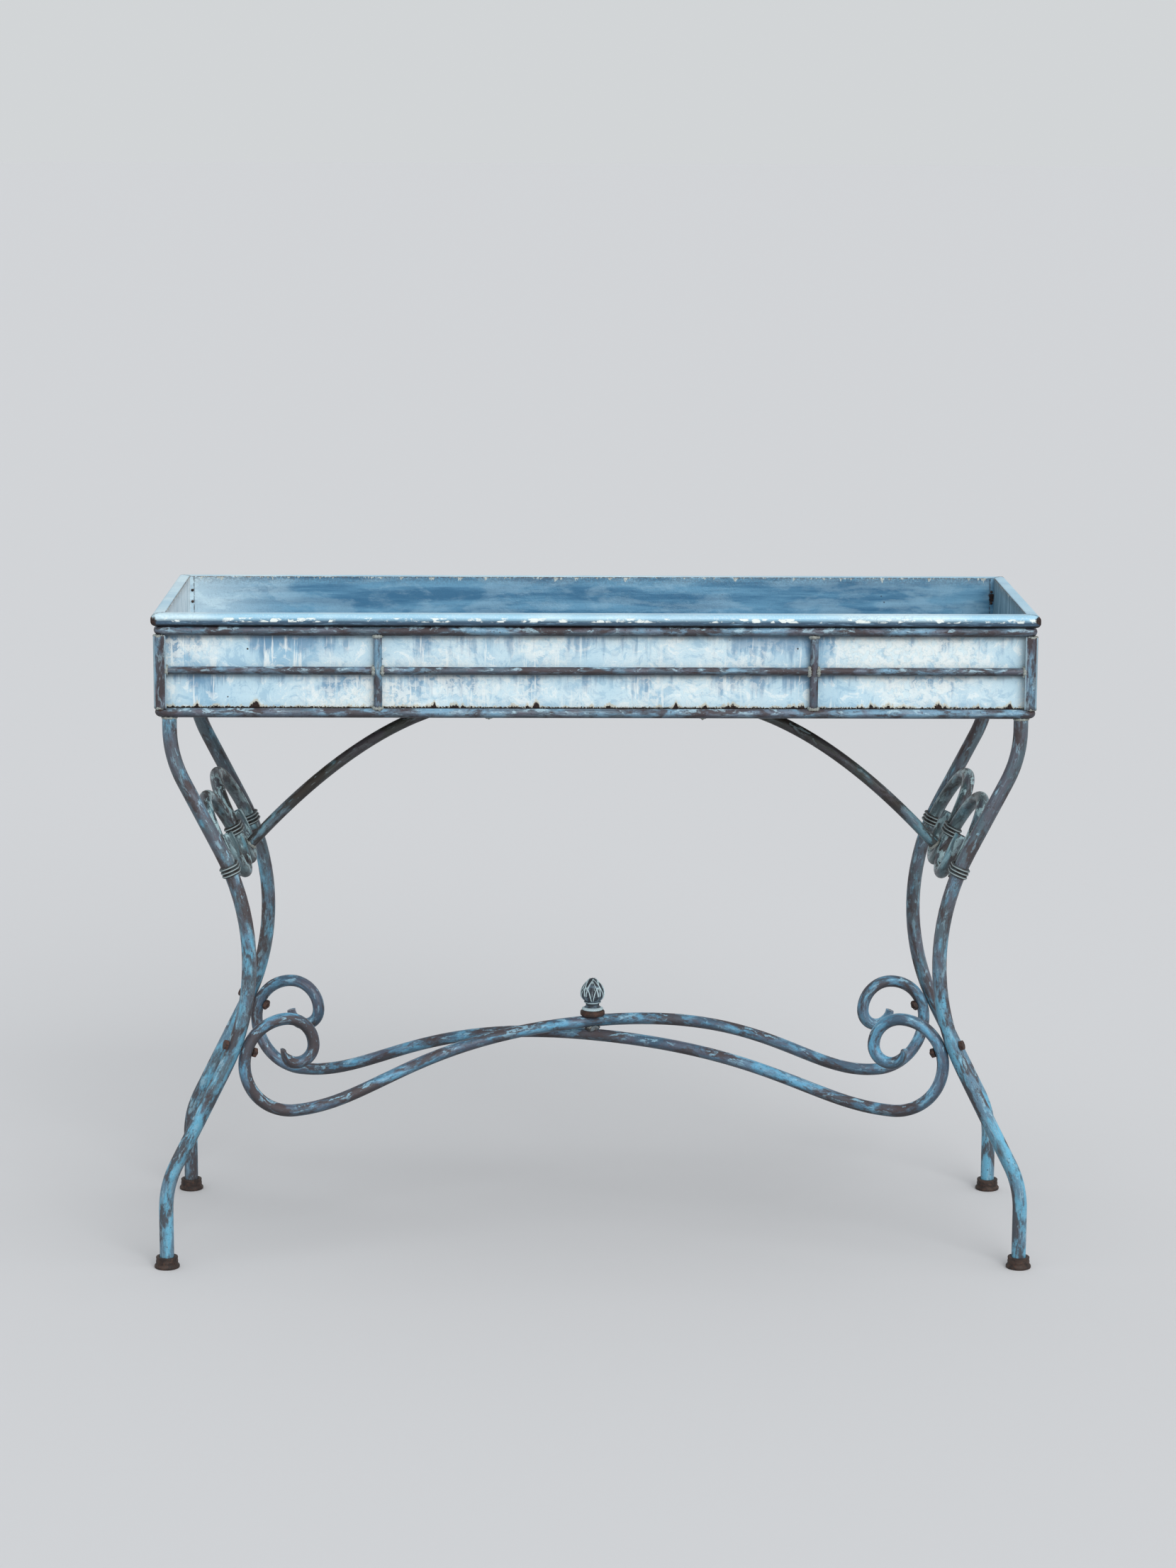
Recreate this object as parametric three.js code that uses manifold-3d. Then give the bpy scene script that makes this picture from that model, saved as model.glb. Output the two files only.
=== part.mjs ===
// Potting bench: a sheet-metal tray hangs by its rolled rim in a cradle of round bar. The cradle stands
// on four bowed legs, tied at each end by a pair of scrolls and along the middle by two crossing
// stretchers. Millimetres, +Z up. X runs along the bench and the front faces -Y. The origin is on the
// floor under the bench's middle.
import * as THREE from "three";
import { mergeVertices } from "three/addons/utils/BufferGeometryUtils.js";
import Module from "manifold-3d";

// ---- Overall ----
const BENCH_LENGTH = 1200; // over the tray's rim
const BENCH_DEPTH = 410;
const BENCH_HEIGHT = 920;
const GAP = 0.3; // between pieces that touch or are welded

// ---- Tray ----
const SHEET = 1.5;
const FLOOR_DROP = 2; // tray floor below the bottom rail's top, so the rail hides its edge
const RIM_HEIGHT = 17.5;
const RIM_NOSE = 7; // radius of the roll
const LIP_START = 4.5; // where the rolled lip ends, out from the wall's inner face
const CORNER_TAB = 6;
const TAB_SHEET = 1.2;
const TAB_CLEARANCE = 3;
const TRAY_CLEARANCE = 1.9; // tray wall to rail, all round

// ---- Cradle ----
const RAIL_DIA = 12.7;
const RAIL_INSET = 2.4; // rail's outer side back from the rim's
const RAIL_BEND = 10; // centre line, at the four corners: tight enough to clear the tray's square corners
const CRADLE_HEIGHT = 112; // top rail to bottom rail, centre to centre
const MID_DROP = 54; // top rail to middle rod, centre to centre
const MID_DIA = 11;
const UPRIGHT_DIA = 11.5;
const UPRIGHT_SPAN = 590; // between the two uprights of a long side
const POST_WIDTH = 17;
const POST_WALL = 3;
const POST_HEEL = 4; // outer radius of the angle iron's heel
const CROSS_BAR_DIA = 10;
const CROSS_BAR_SPAN = 290; // between the two bars under the tray
const CROSS_BAR_DROP = 2; // below the bottom rail, centre to centre

// ---- Legs ----
const LEG_DIA = 20;
const LEG_INSET_X = 13.25; // leg top in from the bottom rail, centre to centre
const LEG_INSET_Y = 6.25;
const LEG_FLARE = 15.5; // foot out from the leg's top
const KNEE_DROP = 54; // leg top to the corner of the upper bend
const WAIST_INSET = 145; // corner of the waist's bend in from the leg's top
const WAIST_HEIGHT = 438;
const ANKLE_HEIGHT = 117;
const KNEE_BEND = 160;
const WAIST_BEND = 342;
const ANKLE_BEND = 140;
const FOOT_DIA = 35;
const FOOT_HEIGHT = 16;
const FOOT_FLANGE = 4; // height of the wide base ring
const FOOT_WAIST = 2; // how far the cup's side is inside the base ring
const FOOT_FLOOR = 4; // under the leg's end
const FOOT_FIT = 0.8; // radial clearance of the leg in the cup

// ---- End scrolls: laid out on the curved surface that an end's two legs sweep, by depth Y and by
// length down the leg ----
const SCROLL_DIA = 18;
const SCROLL_PAIR_GAP = 1; // between the two inner limbs
const SCROLL_DROP = 225; // leg top to the centre of the lower bend
const SCROLL_STRAIGHT = 6; // straight part of the inner limb, between the two bends
const SCROLL_HOOK = 37; // radius of the lower bend
const SCROLL_TIP = 27; // how far the free end rises past the lower bend's centre
const SCROLL_TAIL = 20; // how far the outer limb runs down past the lower bend's centre
const COLLAR_HEIGHT = 15;
const COLLAR_WALL = 3;
const COLLAR_FIT = 0.5; // clearance round the tubes in a collar
const OUTER_COLLAR_LOW = 5; // collar's middle below the lower bend's centre
const CENTRE_COLLAR_HIGH = 17; // and above it
const COLLAR_SEGMENTS = 4; // of a half turn

// ---- Braces ----
const BRACE_DIA = 16;
const BRACE_LOW = 11; // brace's lower end below the centre of the scrolls' lower bend
const BRACE_LEAN = 48; // degrees above level at the lower end
const BRACE_PULL = 104; // Bezier handle at the lower end
const BRACE_FLAT = 134; // and at the level upper end

// ---- Stretchers ----
const STRETCHER_DIA = 17;
const BOLT_HEIGHT_FRONT = 316;
const BOLT_HEIGHT_REAR = 296;
const RING_RADII = [60, 40, 24, 20]; // quarter turns after the bolt, each smaller than the last
const BELLY_RADIUS = 72; // quarter turn between the lowest point and the leg
const UPPER_PEAK = 306; // height of the upper stretcher's centre line at the crossing
const CROSSING_RISE = 20; // upper stretcher above the lower one at the crossing
const ARCH_SHARE = 0.604; // Bezier handle at the crossing, as a share of the way to the lowest point
const BELLY_SHARE = 0.26; // and at the lowest point
const BOLT_DIA = 6;
const BOLT_FIT = 0.5; // radial clearance of the bolt holes
const BOLT_HEAD = 15; // across corners
const BOLT_HEAD_HEIGHT = 5;
const NUT_HEIGHT = 5.5;
const BOLT_END = 2; // past the nut
const HEX = 6;
const CROSSING_WELD_DIA = 16;

// ---- Finial ----
const FINIAL_HEIGHT = 46;
const FINIAL_BUD_DIA = 35;
const FINIAL_NECK_DIA = 20;
const FINIAL_BASE_DIA = 35;
const FINIAL_BASE_HEIGHT = 8;
const WASHER_EDGE = 2;
const NECK_FLARE = 3.5; // the neck's foot is this much wider than the neck
const NECK_FROM = 3.7;
const NECK_TO = 10;
// The bud's profile, as shares of its radius and of the finial's height.
const BUD_SHAPE = [
  [0.8, 0.34],
  [1, 0.5],
  [0.93, 0.64],
  [0.62, 0.78],
  [0.22, 0.93],
];

// ---- Fineness ----
const BAR_SIDES = 8;
const ROUND_SIDES = 12;
const ARC_STEP = Math.PI / 18;
const RING_STEP = Math.PI / 11;
const CURVE_STEPS = 10;
const MERGE = 1e-4;
const ROUNDING = 1e-6;
const INNER_SHARE = 0.6; // the most of a stretch between two bends that one bend may take
const OUTER_SHARE = 0.9; // and of a stretch with one bend

// ---- Places that follow from the sizes above ----
const halfLength = BENCH_LENGTH / 2;
const halfDepth = BENCH_DEPTH / 2;
const railRadius = RAIL_DIA / 2;
const railX = halfLength - RAIL_INSET - railRadius;
const railY = halfDepth - RAIL_INSET - railRadius;
const topRailZ = BENCH_HEIGHT - RIM_HEIGHT - GAP - railRadius;
const bottomRailZ = topRailZ - CRADLE_HEIGHT;
const midZ = topRailZ - MID_DROP;
const trayX = railX - railRadius - TRAY_CLEARANCE - SHEET; // inner faces of the tray's walls
const trayY = railY - railRadius - TRAY_CLEARANCE - SHEET;
const trayFloorZ = bottomRailZ + railRadius - FLOOR_DROP; // underside
const trayDepth = BENCH_HEIGHT - trayFloorZ;
const legX = railX - LEG_INSET_X;
const legY = railY - LEG_INSET_Y;
const footX = legX + LEG_FLARE;
const legRadius = LEG_DIA / 2;
const legTopZ = bottomRailZ - railRadius - GAP;
const scrollRadius = SCROLL_DIA / 2;
const outerLimbY = legY - legRadius - scrollRadius - GAP;
const innerLimbY = scrollRadius + SCROLL_PAIR_GAP / 2;
const crossBarZ = bottomRailZ - CROSS_BAR_DROP;
const braceRadius = BRACE_DIA / 2;
const stretcherRadius = STRETCHER_DIA / 2;
const ringRadius = RING_RADII[0];

// ---- Finishes ----
const finish = (color, roughness, metalness) =>
  new THREE.MeshStandardMaterial({ color, roughness, metalness });
const trayPaint = finish(0xb5cddb, 0.55, 0.35);
const barPaint = finish(0x4f7f98, 0.5, 0.3);
const collarPaint = finish(0x6b6a62, 0.5, 0.5);
const rustyIron = finish(0x3a2a22, 0.75, 0.4);
const castIron = finish(0x5a6a70, 0.5, 0.5);
const footCap = finish(0x2b211c, 0.85, 0.0);

const bench = new THREE.Group();
const wasm = await Module();
wasm.setup();

// ---- Helpers ----
function add(name, geometry, material) {
  const mesh = new THREE.Mesh(geometry, material.clone());
  mesh.name = name;
  bench.add(mesh);
  return mesh;
}

function toSolid(geometry) {
  const bare = geometry.clone();
  bare.deleteAttribute("normal");
  bare.deleteAttribute("uv");
  const merged = mergeVertices(bare, MERGE);
  const triVerts = new Uint32Array(merged.index.array);
  return new wasm.Manifold(
    new wasm.Mesh({ numProp: 3, vertProperties: merged.attributes.position.array, triVerts }),
  );
}

function toGeometry(solid) {
  const mesh = solid.getMesh();
  const geometry = new THREE.BufferGeometry();
  geometry.setAttribute("position", new THREE.BufferAttribute(new Float32Array(mesh.vertProperties), 3));
  geometry.setIndex(new THREE.BufferAttribute(new Uint32Array(mesh.triVerts), 1));
  geometry.computeVertexNormals();
  return geometry;
}

function cut(geometry, ...tools) {
  const left = tools.reduce((solid, tool) => solid.subtract(toSolid(tool)), toSolid(geometry));
  return toGeometry(left);
}

// A centre line through given knots. Each knot is one ring of the bar, square to the bisector of its two
// spans, so that straight stretches cost nothing and bends get as many rings as they need.
class KnotPath extends THREE.Curve {
  constructor(knots, closed = false) {
    super();
    this.knots = knots;
    this.closed = closed;
    this.spans = closed ? knots.length : knots.length - 1;
  }
  knot(i) {
    const count = this.knots.length;
    return this.closed ? this.knots[((i % count) + count) % count] : this.knots[i];
  }
  getPoint(t, target = new THREE.Vector3()) {
    const place = t * this.spans;
    const i = Math.min(Math.floor(place), this.spans - 1);
    return target.lerpVectors(this.knot(i), this.knot(i + 1), place - i);
  }
  getPointAt(u, target) {
    return this.getPoint(u, target);
  }
  getTangentAt(u, target = new THREE.Vector3()) {
    const i = Math.round(u * this.spans);
    const here = this.knot(i);
    const sum = new THREE.Vector3();
    if (this.closed || i > 0) sum.add(here.clone().sub(this.knot(i - 1)).normalize());
    if (this.closed || i < this.spans) sum.add(this.knot(i + 1).clone().sub(here).normalize());
    return target.copy(sum.normalize());
  }
}

function bar(knots, radius) {
  const ring = [];
  for (let i = 0; i < BAR_SIDES; i++) {
    const angle = (2 * Math.PI * i) / BAR_SIDES;
    ring.push(new THREE.Vector2(radius * Math.cos(angle), radius * Math.sin(angle)));
  }
  return new THREE.ExtrudeGeometry(new THREE.Shape(ring), {
    steps: knots.length - 1,
    extrudePath: new KnotPath(knots),
  });
}

// A straight round rod between two points.
function rod(from, to, radius, sides = BAR_SIDES) {
  const along = to.clone().sub(from);
  const geometry = new THREE.CylinderGeometry(radius, radius, along.length(), sides);
  const turn = new THREE.Quaternion().setFromUnitVectors(
    new THREE.Vector3(0, 1, 0),
    along.clone().normalize(),
  );
  geometry.applyQuaternion(turn);
  const middle = from.clone().add(to).divideScalar(2);
  return geometry.translate(middle.x, middle.y, middle.z);
}

// A closed 2D outline run along one of the frame's axes, over a length centred on 0.
function prism(outline, length, axis) {
  const geometry = new THREE.ExtrudeGeometry(new THREE.Shape(outline), {
    depth: length,
    bevelEnabled: false,
  });
  geometry.translate(0, 0, -length / 2);
  const x = new THREE.Vector3(1, 0, 0);
  const y = new THREE.Vector3(0, 1, 0);
  const z = new THREE.Vector3(0, 0, 1);
  const bases = { x: [y, z, x], y: [x.clone().negate(), z, y], z: [x, y, z] };
  return geometry.applyMatrix4(new THREE.Matrix4().makeBasis(...bases[axis]));
}

// Points round part of a circle, both ends included.
function arc(centreA, centreB, radius, from, to, step = ARC_STEP) {
  const count = Math.max(1, Math.ceil(Math.abs(to - from) / step - ROUNDING));
  const points = [];
  for (let i = 0; i <= count; i++) {
    const angle = from + ((to - from) * i) / count;
    points.push(
      new THREE.Vector2(centreA + radius * Math.cos(angle), centreB + radius * Math.sin(angle)),
    );
  }
  return points;
}

// A bent rod's centre line in its own plane: corners are {at, bend}, and a bend is cut down where its
// stretches are too short for it.
function bent(corners) {
  const points = [];
  corners.forEach(({ at, bend }, i) => {
    if (!bend) {
      points.push(at.clone());
      return;
    }
    const into = at.clone().sub(corners[i - 1].at);
    const out = corners[i + 1].at.clone().sub(at);
    const turn = Math.acos(into.clone().normalize().dot(out.clone().normalize()));
    const roomIn = into.length() * (i === 1 ? OUTER_SHARE : INNER_SHARE);
    const roomOut = out.length() * (i === corners.length - 2 ? OUTER_SHARE : INNER_SHARE);
    const reach = Math.min(bend * Math.tan(turn / 2), roomIn, roomOut);
    const radius = reach / Math.tan(turn / 2);
    const side = Math.sign(into.cross(out));
    into.normalize();
    const start = at.clone().addScaledVector(into, -reach);
    const centre = start.clone().addScaledVector(new THREE.Vector2(-into.y, into.x), radius * side);
    const first = Math.atan2(start.y - centre.y, start.x - centre.x);
    points.push(...arc(centre.x, centre.y, radius, first, first + side * turn));
  });
  return points;
}

// ---- The leg's line, in X (out from the middle) and Z ----
const legLine = bent([
  { at: new THREE.Vector2(legX, legTopZ) },
  { at: new THREE.Vector2(legX, legTopZ - KNEE_DROP), bend: KNEE_BEND },
  { at: new THREE.Vector2(legX - WAIST_INSET, WAIST_HEIGHT), bend: WAIST_BEND },
  { at: new THREE.Vector2(footX, ANKLE_HEIGHT), bend: ANKLE_BEND },
  { at: new THREE.Vector2(footX, FOOT_FLOOR + GAP) },
]);

// The leg's point and downward direction, at a length down it or at a height.
function legWhere(test) {
  let run = 0;
  for (let i = 1; i < legLine.length; i++) {
    const along = legLine[i].clone().sub(legLine[i - 1]);
    const share = test(run, along.length(), legLine[i - 1], legLine[i]);
    if (share <= 1 || i === legLine.length - 1) {
      const at = legLine[i - 1].clone().addScaledVector(along, share);
      return { at, down: along.normalize() };
    }
    run += along.length();
  }
}
const legAtDrop = (drop) => legWhere((run, length) => (drop - run) / length);
const legAtHeight = (z) => legWhere((run, length, from, to) => (from.y - z) / (from.y - to.y));

// A point of the surface that an end's two legs sweep.
function endPoint(side, y, drop) {
  const { at } = legAtDrop(drop);
  return new THREE.Vector3(side * at.x, y, at.y);
}

const sides = { left: -1, right: 1 };
const faces = { front: -1, rear: 1 };

// ---- Cradle ----
function railRing(z) {
  const inX = railX - RAIL_BEND;
  const inY = railY - RAIL_BEND;
  const quarters = [
    [inX, inY, 0],
    [-inX, inY, 1],
    [-inX, -inY, 2],
    [inX, -inY, 3],
  ];
  const knots = quarters.flatMap(([x, y, quarter]) => {
    const from = (quarter * Math.PI) / 2;
    return arc(x, y, RAIL_BEND, from, from + Math.PI / 2, ARC_STEP * 2);
  });
  const path = new KnotPath(
    knots.map((p) => new THREE.Vector3(p.x, p.y, z)),
    true,
  );
  return new THREE.TubeGeometry(path, knots.length, railRadius, BAR_SIDES, true);
}
add("top_rail", railRing(topRailZ), barPaint);
add("bottom_rail", railRing(bottomRailZ), barPaint);

const standFrom = bottomRailZ + railRadius + GAP;
const standTo = topRailZ - railRadius - GAP;
const standMiddle = (standFrom + standTo) / 2;
const postX = railX + railRadius; // the angle iron's outer faces line up with the rails' outer sides
const postY = railY + railRadius;
const uprightX = UPRIGHT_SPAN / 2;

function cornerPost(side, face) {
  const heel = arc(postX - POST_HEEL, postY - POST_HEEL, POST_HEEL, 0, Math.PI / 2, ARC_STEP * 2);
  const outline = [
    new THREE.Vector2(postX, postY - POST_WIDTH),
    ...heel,
    new THREE.Vector2(postX - POST_WIDTH, postY),
    new THREE.Vector2(postX - POST_WIDTH, postY - POST_WALL),
    new THREE.Vector2(postX - POST_WALL, postY - POST_WALL),
    new THREE.Vector2(postX - POST_WALL, postY - POST_WIDTH),
  ].map((p) => new THREE.Vector2(side * p.x, face * p.y));
  return prism(outline, standTo - standFrom, "z").translate(0, 0, standMiddle);
}

function midRod(fromX, fromY, toX, toY) {
  return rod(new THREE.Vector3(fromX, fromY, midZ), new THREE.Vector3(toX, toY, midZ), MID_DIA / 2);
}

for (const [faceName, face] of Object.entries(faces)) {
  const y = face * railY;
  const inner = uprightX - UPRIGHT_DIA / 2 - GAP;
  const outer = uprightX + UPRIGHT_DIA / 2 + GAP;
  add("mid_rod_" + faceName + "_centre", midRod(-inner, y, inner, y), barPaint);
  for (const [sideName, side] of Object.entries(sides)) {
    const place = faceName + "_" + sideName;
    const x = side * uprightX;
    const post = side * (postX - POST_WIDTH - GAP);
    add("corner_post_" + place, cornerPost(side, face), barPaint);
    add(
      "upright_" + place,
      rod(new THREE.Vector3(x, y, standFrom), new THREE.Vector3(x, y, standTo), UPRIGHT_DIA / 2),
      barPaint,
    );
    add("mid_rod_" + place, midRod(side * outer, y, post, y), barPaint);
  }
}
for (const [sideName, side] of Object.entries(sides)) {
  const x = side * railX;
  const y = postY - POST_WIDTH - GAP;
  add("mid_rod_end_" + sideName, midRod(x, -y, x, y), barPaint);
  const barX = (side * CROSS_BAR_SPAN) / 2;
  const barY = railY - railRadius - GAP;
  add(
    "cross_bar_" + sideName,
    rod(
      new THREE.Vector3(barX, -barY, crossBarZ),
      new THREE.Vector3(barX, barY, crossBarZ),
      CROSS_BAR_DIA / 2,
    ),
    barPaint,
  );
}

// ---- Tray: one sheet folded into a trough, and two end sheets that meet it in mitres ----
// The rolled rim in section, from the top of the wall's inner face round to the wall's outer face.
// Places are out from the inner face, and up.
function rimSection(width) {
  const top = BENCH_HEIGHT;
  const under = BENCH_HEIGHT - RIM_HEIGHT;
  const nose = width - RIM_NOSE;
  const quarter = Math.PI / 2;
  const step = ARC_STEP * 3;
  const inner = RIM_NOSE - SHEET;
  return [
    new THREE.Vector2(0, top),
    ...arc(nose, top - RIM_NOSE, RIM_NOSE, quarter, 0, step),
    ...arc(nose, under + RIM_NOSE, RIM_NOSE, 0, -quarter, step),
    new THREE.Vector2(LIP_START, under),
    new THREE.Vector2(LIP_START, under + SHEET),
    ...arc(nose, under + RIM_NOSE, inner, -quarter, 0, step),
    ...arc(nose, top - RIM_NOSE, inner, 0, quarter, step),
    new THREE.Vector2(SHEET, top - SHEET),
  ];
}

const mitreReach = Math.max(halfLength - trayX, halfDepth - trayY) + CORNER_TAB;

function trough() {
  const rim = rimSection(halfDepth - trayY);
  const front = rim.map((p) => new THREE.Vector2(-trayY - p.x, p.y));
  const rear = rim.map((p) => new THREE.Vector2(trayY + p.x, p.y)).reverse();
  const outline = [
    new THREE.Vector2(-trayY, trayFloorZ + SHEET),
    ...front,
    new THREE.Vector2(-trayY - SHEET, trayFloorZ),
    new THREE.Vector2(trayY + SHEET, trayFloorZ),
    ...rear,
    new THREE.Vector2(trayY, trayFloorZ + SHEET),
  ];
  const tools = Object.values(sides).map((side) => {
    const plan = [
      [trayX - GAP, -trayY],
      [trayX - GAP + mitreReach, -trayY - mitreReach],
      [trayX + 2 * mitreReach, -trayY - mitreReach],
      [trayX + 2 * mitreReach, trayY + mitreReach],
      [trayX - GAP + mitreReach, trayY + mitreReach],
      [trayX - GAP, trayY],
    ].map(([x, y]) => new THREE.Vector2(side * x, y));
    return prism(plan, 2 * trayDepth, "z").translate(0, 0, BENCH_HEIGHT - trayDepth / 2);
  });
  return cut(prism(outline, BENCH_LENGTH, "x"), ...tools);
}

function endSheet(side) {
  const outline = [
    new THREE.Vector2(0, trayFloorZ),
    ...rimSection(halfLength - trayX),
    new THREE.Vector2(SHEET, trayFloorZ),
  ].map((p) => new THREE.Vector2(-side * (trayX + p.x), p.y));
  const plan = [
    [trayX - CORNER_TAB, CORNER_TAB - trayY],
    [trayX + mitreReach, -trayY - mitreReach],
    [trayX + mitreReach, trayY + mitreReach],
    [trayX - CORNER_TAB, trayY - CORNER_TAB],
  ].map(([x, y]) => new THREE.Vector2(side * x, y));
  const keep = prism(plan, 2 * trayDepth, "z").translate(0, 0, BENCH_HEIGHT - trayDepth / 2);
  let sheet = toSolid(prism(outline, BENCH_DEPTH, "y")).intersect(toSolid(keep));
  const tabFrom = trayFloorZ + SHEET + TAB_CLEARANCE;
  const tabTo = BENCH_HEIGHT - SHEET;
  for (const face of Object.values(faces)) {
    const tab = new THREE.BoxGeometry(CORNER_TAB + SHEET / 2, TAB_SHEET, tabTo - tabFrom);
    const x = side * (trayX - CORNER_TAB / 2 + SHEET / 4);
    const y = face * (trayY - GAP - TAB_SHEET / 2);
    sheet = sheet.add(toSolid(tab.translate(x, y, (tabFrom + tabTo) / 2)));
  }
  return toGeometry(sheet);
}
add("tray_trough", trough(), trayPaint);
for (const [sideName, side] of Object.entries(sides)) {
  add("tray_end_" + sideName, endSheet(side), trayPaint);
}

// ---- Stretchers: each in an upright plane through a front leg's bolt and the opposite rear leg's ----
const frontBolt = legAtHeight(BOLT_HEIGHT_FRONT);
const rearBolt = legAtHeight(BOLT_HEIGHT_REAR);
const boltSpan = frontBolt.at.x + rearBolt.at.x;
const diagonal = new THREE.Vector2(boltSpan, 2 * legY).normalize();
const crossingY = (legY * (frontBolt.at.x - rearBolt.at.x)) / boltSpan;
const poleUp = new THREE.Vector3(0, 0, 1);
const boltTools = {};
const boltSeats = {};

// side and face name a leg. The outward direction runs from the crossing towards that leg.
function outward(side, face) {
  return new THREE.Vector3(side * diagonal.x, face * diagonal.y, 0);
}
const crossing = new THREE.Vector3(0, crossingY, 0);

// Half a stretcher in its own plane, from the crossing out to the free end, with the ring's bolt seat.
function stretcherHalf(bolt, peak) {
  const legOut = bolt.at.x / diagonal.x; // the crossing to the leg, along the plane
  const tilt = Math.atan2(bolt.down.x * diagonal.x, -bolt.down.y); // the bolt is square to the leg
  const across = new THREE.Vector2(Math.cos(tilt), Math.sin(tilt));
  const seat = new THREE.Vector2(legOut, bolt.at.y);
  const centre = seat
    .clone()
    .addScaledVector(across, -(ringRadius + stretcherRadius + GAP + legRadius));
  const belly = new THREE.Vector2(
    centre.x + ringRadius - BELLY_RADIUS,
    centre.y - BELLY_RADIUS,
  );
  const arch = new THREE.CubicBezierCurve(
    new THREE.Vector2(0, peak),
    new THREE.Vector2(belly.x * ARCH_SHARE, peak),
    new THREE.Vector2(belly.x * (1 - BELLY_SHARE), belly.y),
    belly,
  );
  const points = arch.getPoints(CURVE_STEPS).slice(0, -1);
  let turn = -Math.PI / 2;
  let hub = new THREE.Vector2(belly.x, centre.y);
  let radius = BELLY_RADIUS;
  for (const next of [...RING_RADII, 0]) {
    const quarter = arc(hub.x, hub.y, radius, turn, turn + Math.PI / 2, RING_STEP);
    points.push(...(next ? quarter.slice(0, -1) : quarter));
    turn += Math.PI / 2;
    hub = hub
      .clone()
      .add(new THREE.Vector2(Math.cos(turn), Math.sin(turn)).multiplyScalar(radius - next));
    radius = next;
  }
  return { points, seat, across };
}

function stretcher(frontSide, peak) {
  const ends = [
    { side: frontSide, face: faces.front, half: stretcherHalf(frontBolt, peak) },
    { side: -frontSide, face: faces.rear, half: stretcherHalf(rearBolt, peak) },
  ];
  const runs = ends.map(({ side, face, half }) => {
    const out = outward(side, face);
    const place = (p) => crossing.clone().addScaledVector(out, p.x).addScaledVector(poleUp, p.y);
    const across = out.clone().multiplyScalar(half.across.x).addScaledVector(poleUp, half.across.y);
    const seat = place(half.seat);
    const reach = legRadius + STRETCHER_DIA + NUT_HEIGHT + BOLT_HEAD_HEIGHT;
    const from = seat.clone().addScaledVector(across, -reach);
    const to = seat.clone().addScaledVector(across, reach);
    const key = side + "," + face;
    boltTools[key] = rod(from, to, BOLT_DIA / 2 + BOLT_FIT);
    boltSeats[key] = { seat, across };
    return half.points.map(place);
  });
  const knots = [...runs[0].reverse(), ...runs[1].slice(1)];
  const tools = ends.map(({ side, face }) => boltTools[side + "," + face]);
  return cut(bar(knots, stretcherRadius), ...tools);
}
add("stretcher_upper", stretcher(sides.left, UPPER_PEAK), barPaint);
add("stretcher_lower", stretcher(sides.right, UPPER_PEAK - CROSSING_RISE), barPaint);

const weldFrom = UPPER_PEAK - CROSSING_RISE + stretcherRadius + GAP;
const weldTo = UPPER_PEAK - stretcherRadius - GAP;
add(
  "crossing_weld",
  rod(
    new THREE.Vector3(0, crossingY, weldFrom),
    new THREE.Vector3(0, crossingY, weldTo),
    CROSSING_WELD_DIA / 2,
  ),
  rustyIron,
);

// ---- Legs, feet, bolts and nuts ----
function footCup(side, face) {
  const radius = FOOT_DIA / 2;
  const profile = [
    [0, 0],
    [radius, 0],
    [radius, FOOT_FLANGE],
    [radius - FOOT_WAIST, FOOT_FLANGE + FOOT_WAIST],
    [radius - FOOT_WAIST, FOOT_HEIGHT],
    [legRadius + FOOT_FIT, FOOT_HEIGHT],
    [legRadius + FOOT_FIT, FOOT_FLOOR],
    [0, FOOT_FLOOR],
  ].map(([r, z]) => new THREE.Vector2(r, z));
  const cup = new THREE.LatheGeometry(profile, ROUND_SIDES).rotateX(Math.PI / 2);
  return cup.translate(side * footX, face * legY, 0);
}

// A turned piece, its profile given as [radius, height] pairs, set at a point and pointing along a direction.
function turned(profile, at, direction, segments) {
  const points = profile.map(([r, h]) => new THREE.Vector2(r, h));
  const geometry = new THREE.LatheGeometry(points, segments);
  const turn = new THREE.Quaternion().setFromUnitVectors(new THREE.Vector3(0, 1, 0), direction);
  return geometry.applyQuaternion(turn).translate(at.x, at.y, at.z);
}

for (const [faceName, face] of Object.entries(faces)) {
  for (const [sideName, side] of Object.entries(sides)) {
    const place = faceName + "_" + sideName;
    const key = side + "," + face;
    const knots = legLine.map((p) => new THREE.Vector3(side * p.x, face * legY, p.y));
    add("leg_" + place, cut(bar(knots, legRadius), boltTools[key]), barPaint);
    add("foot_" + place, footCup(side, face), footCap);
    const { seat, across } = boltSeats[key];
    const head = legRadius + GAP;
    const nut = -(legRadius + GAP + STRETCHER_DIA + GAP);
    const shank = BOLT_DIA / 2;
    add(
      "bolt_" + place,
      turned(
        [
          [0, nut - NUT_HEIGHT - BOLT_END],
          [shank, nut - NUT_HEIGHT - BOLT_END],
          [shank, head],
          [BOLT_HEAD / 2, head],
          [BOLT_HEAD / 2, head + BOLT_HEAD_HEIGHT],
          [0, head + BOLT_HEAD_HEIGHT],
        ],
        seat,
        across,
        HEX,
      ),
      rustyIron,
    );
    add(
      "nut_" + place,
      turned(
        [
          [shank + GAP, nut - NUT_HEIGHT],
          [BOLT_HEAD / 2, nut - NUT_HEIGHT],
          [BOLT_HEAD / 2, nut],
          [shank + GAP, nut],
          [shank + GAP, nut - NUT_HEIGHT],
        ],
        seat,
        across,
        HEX,
      ),
      rustyIron,
    );
  }
}

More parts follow.
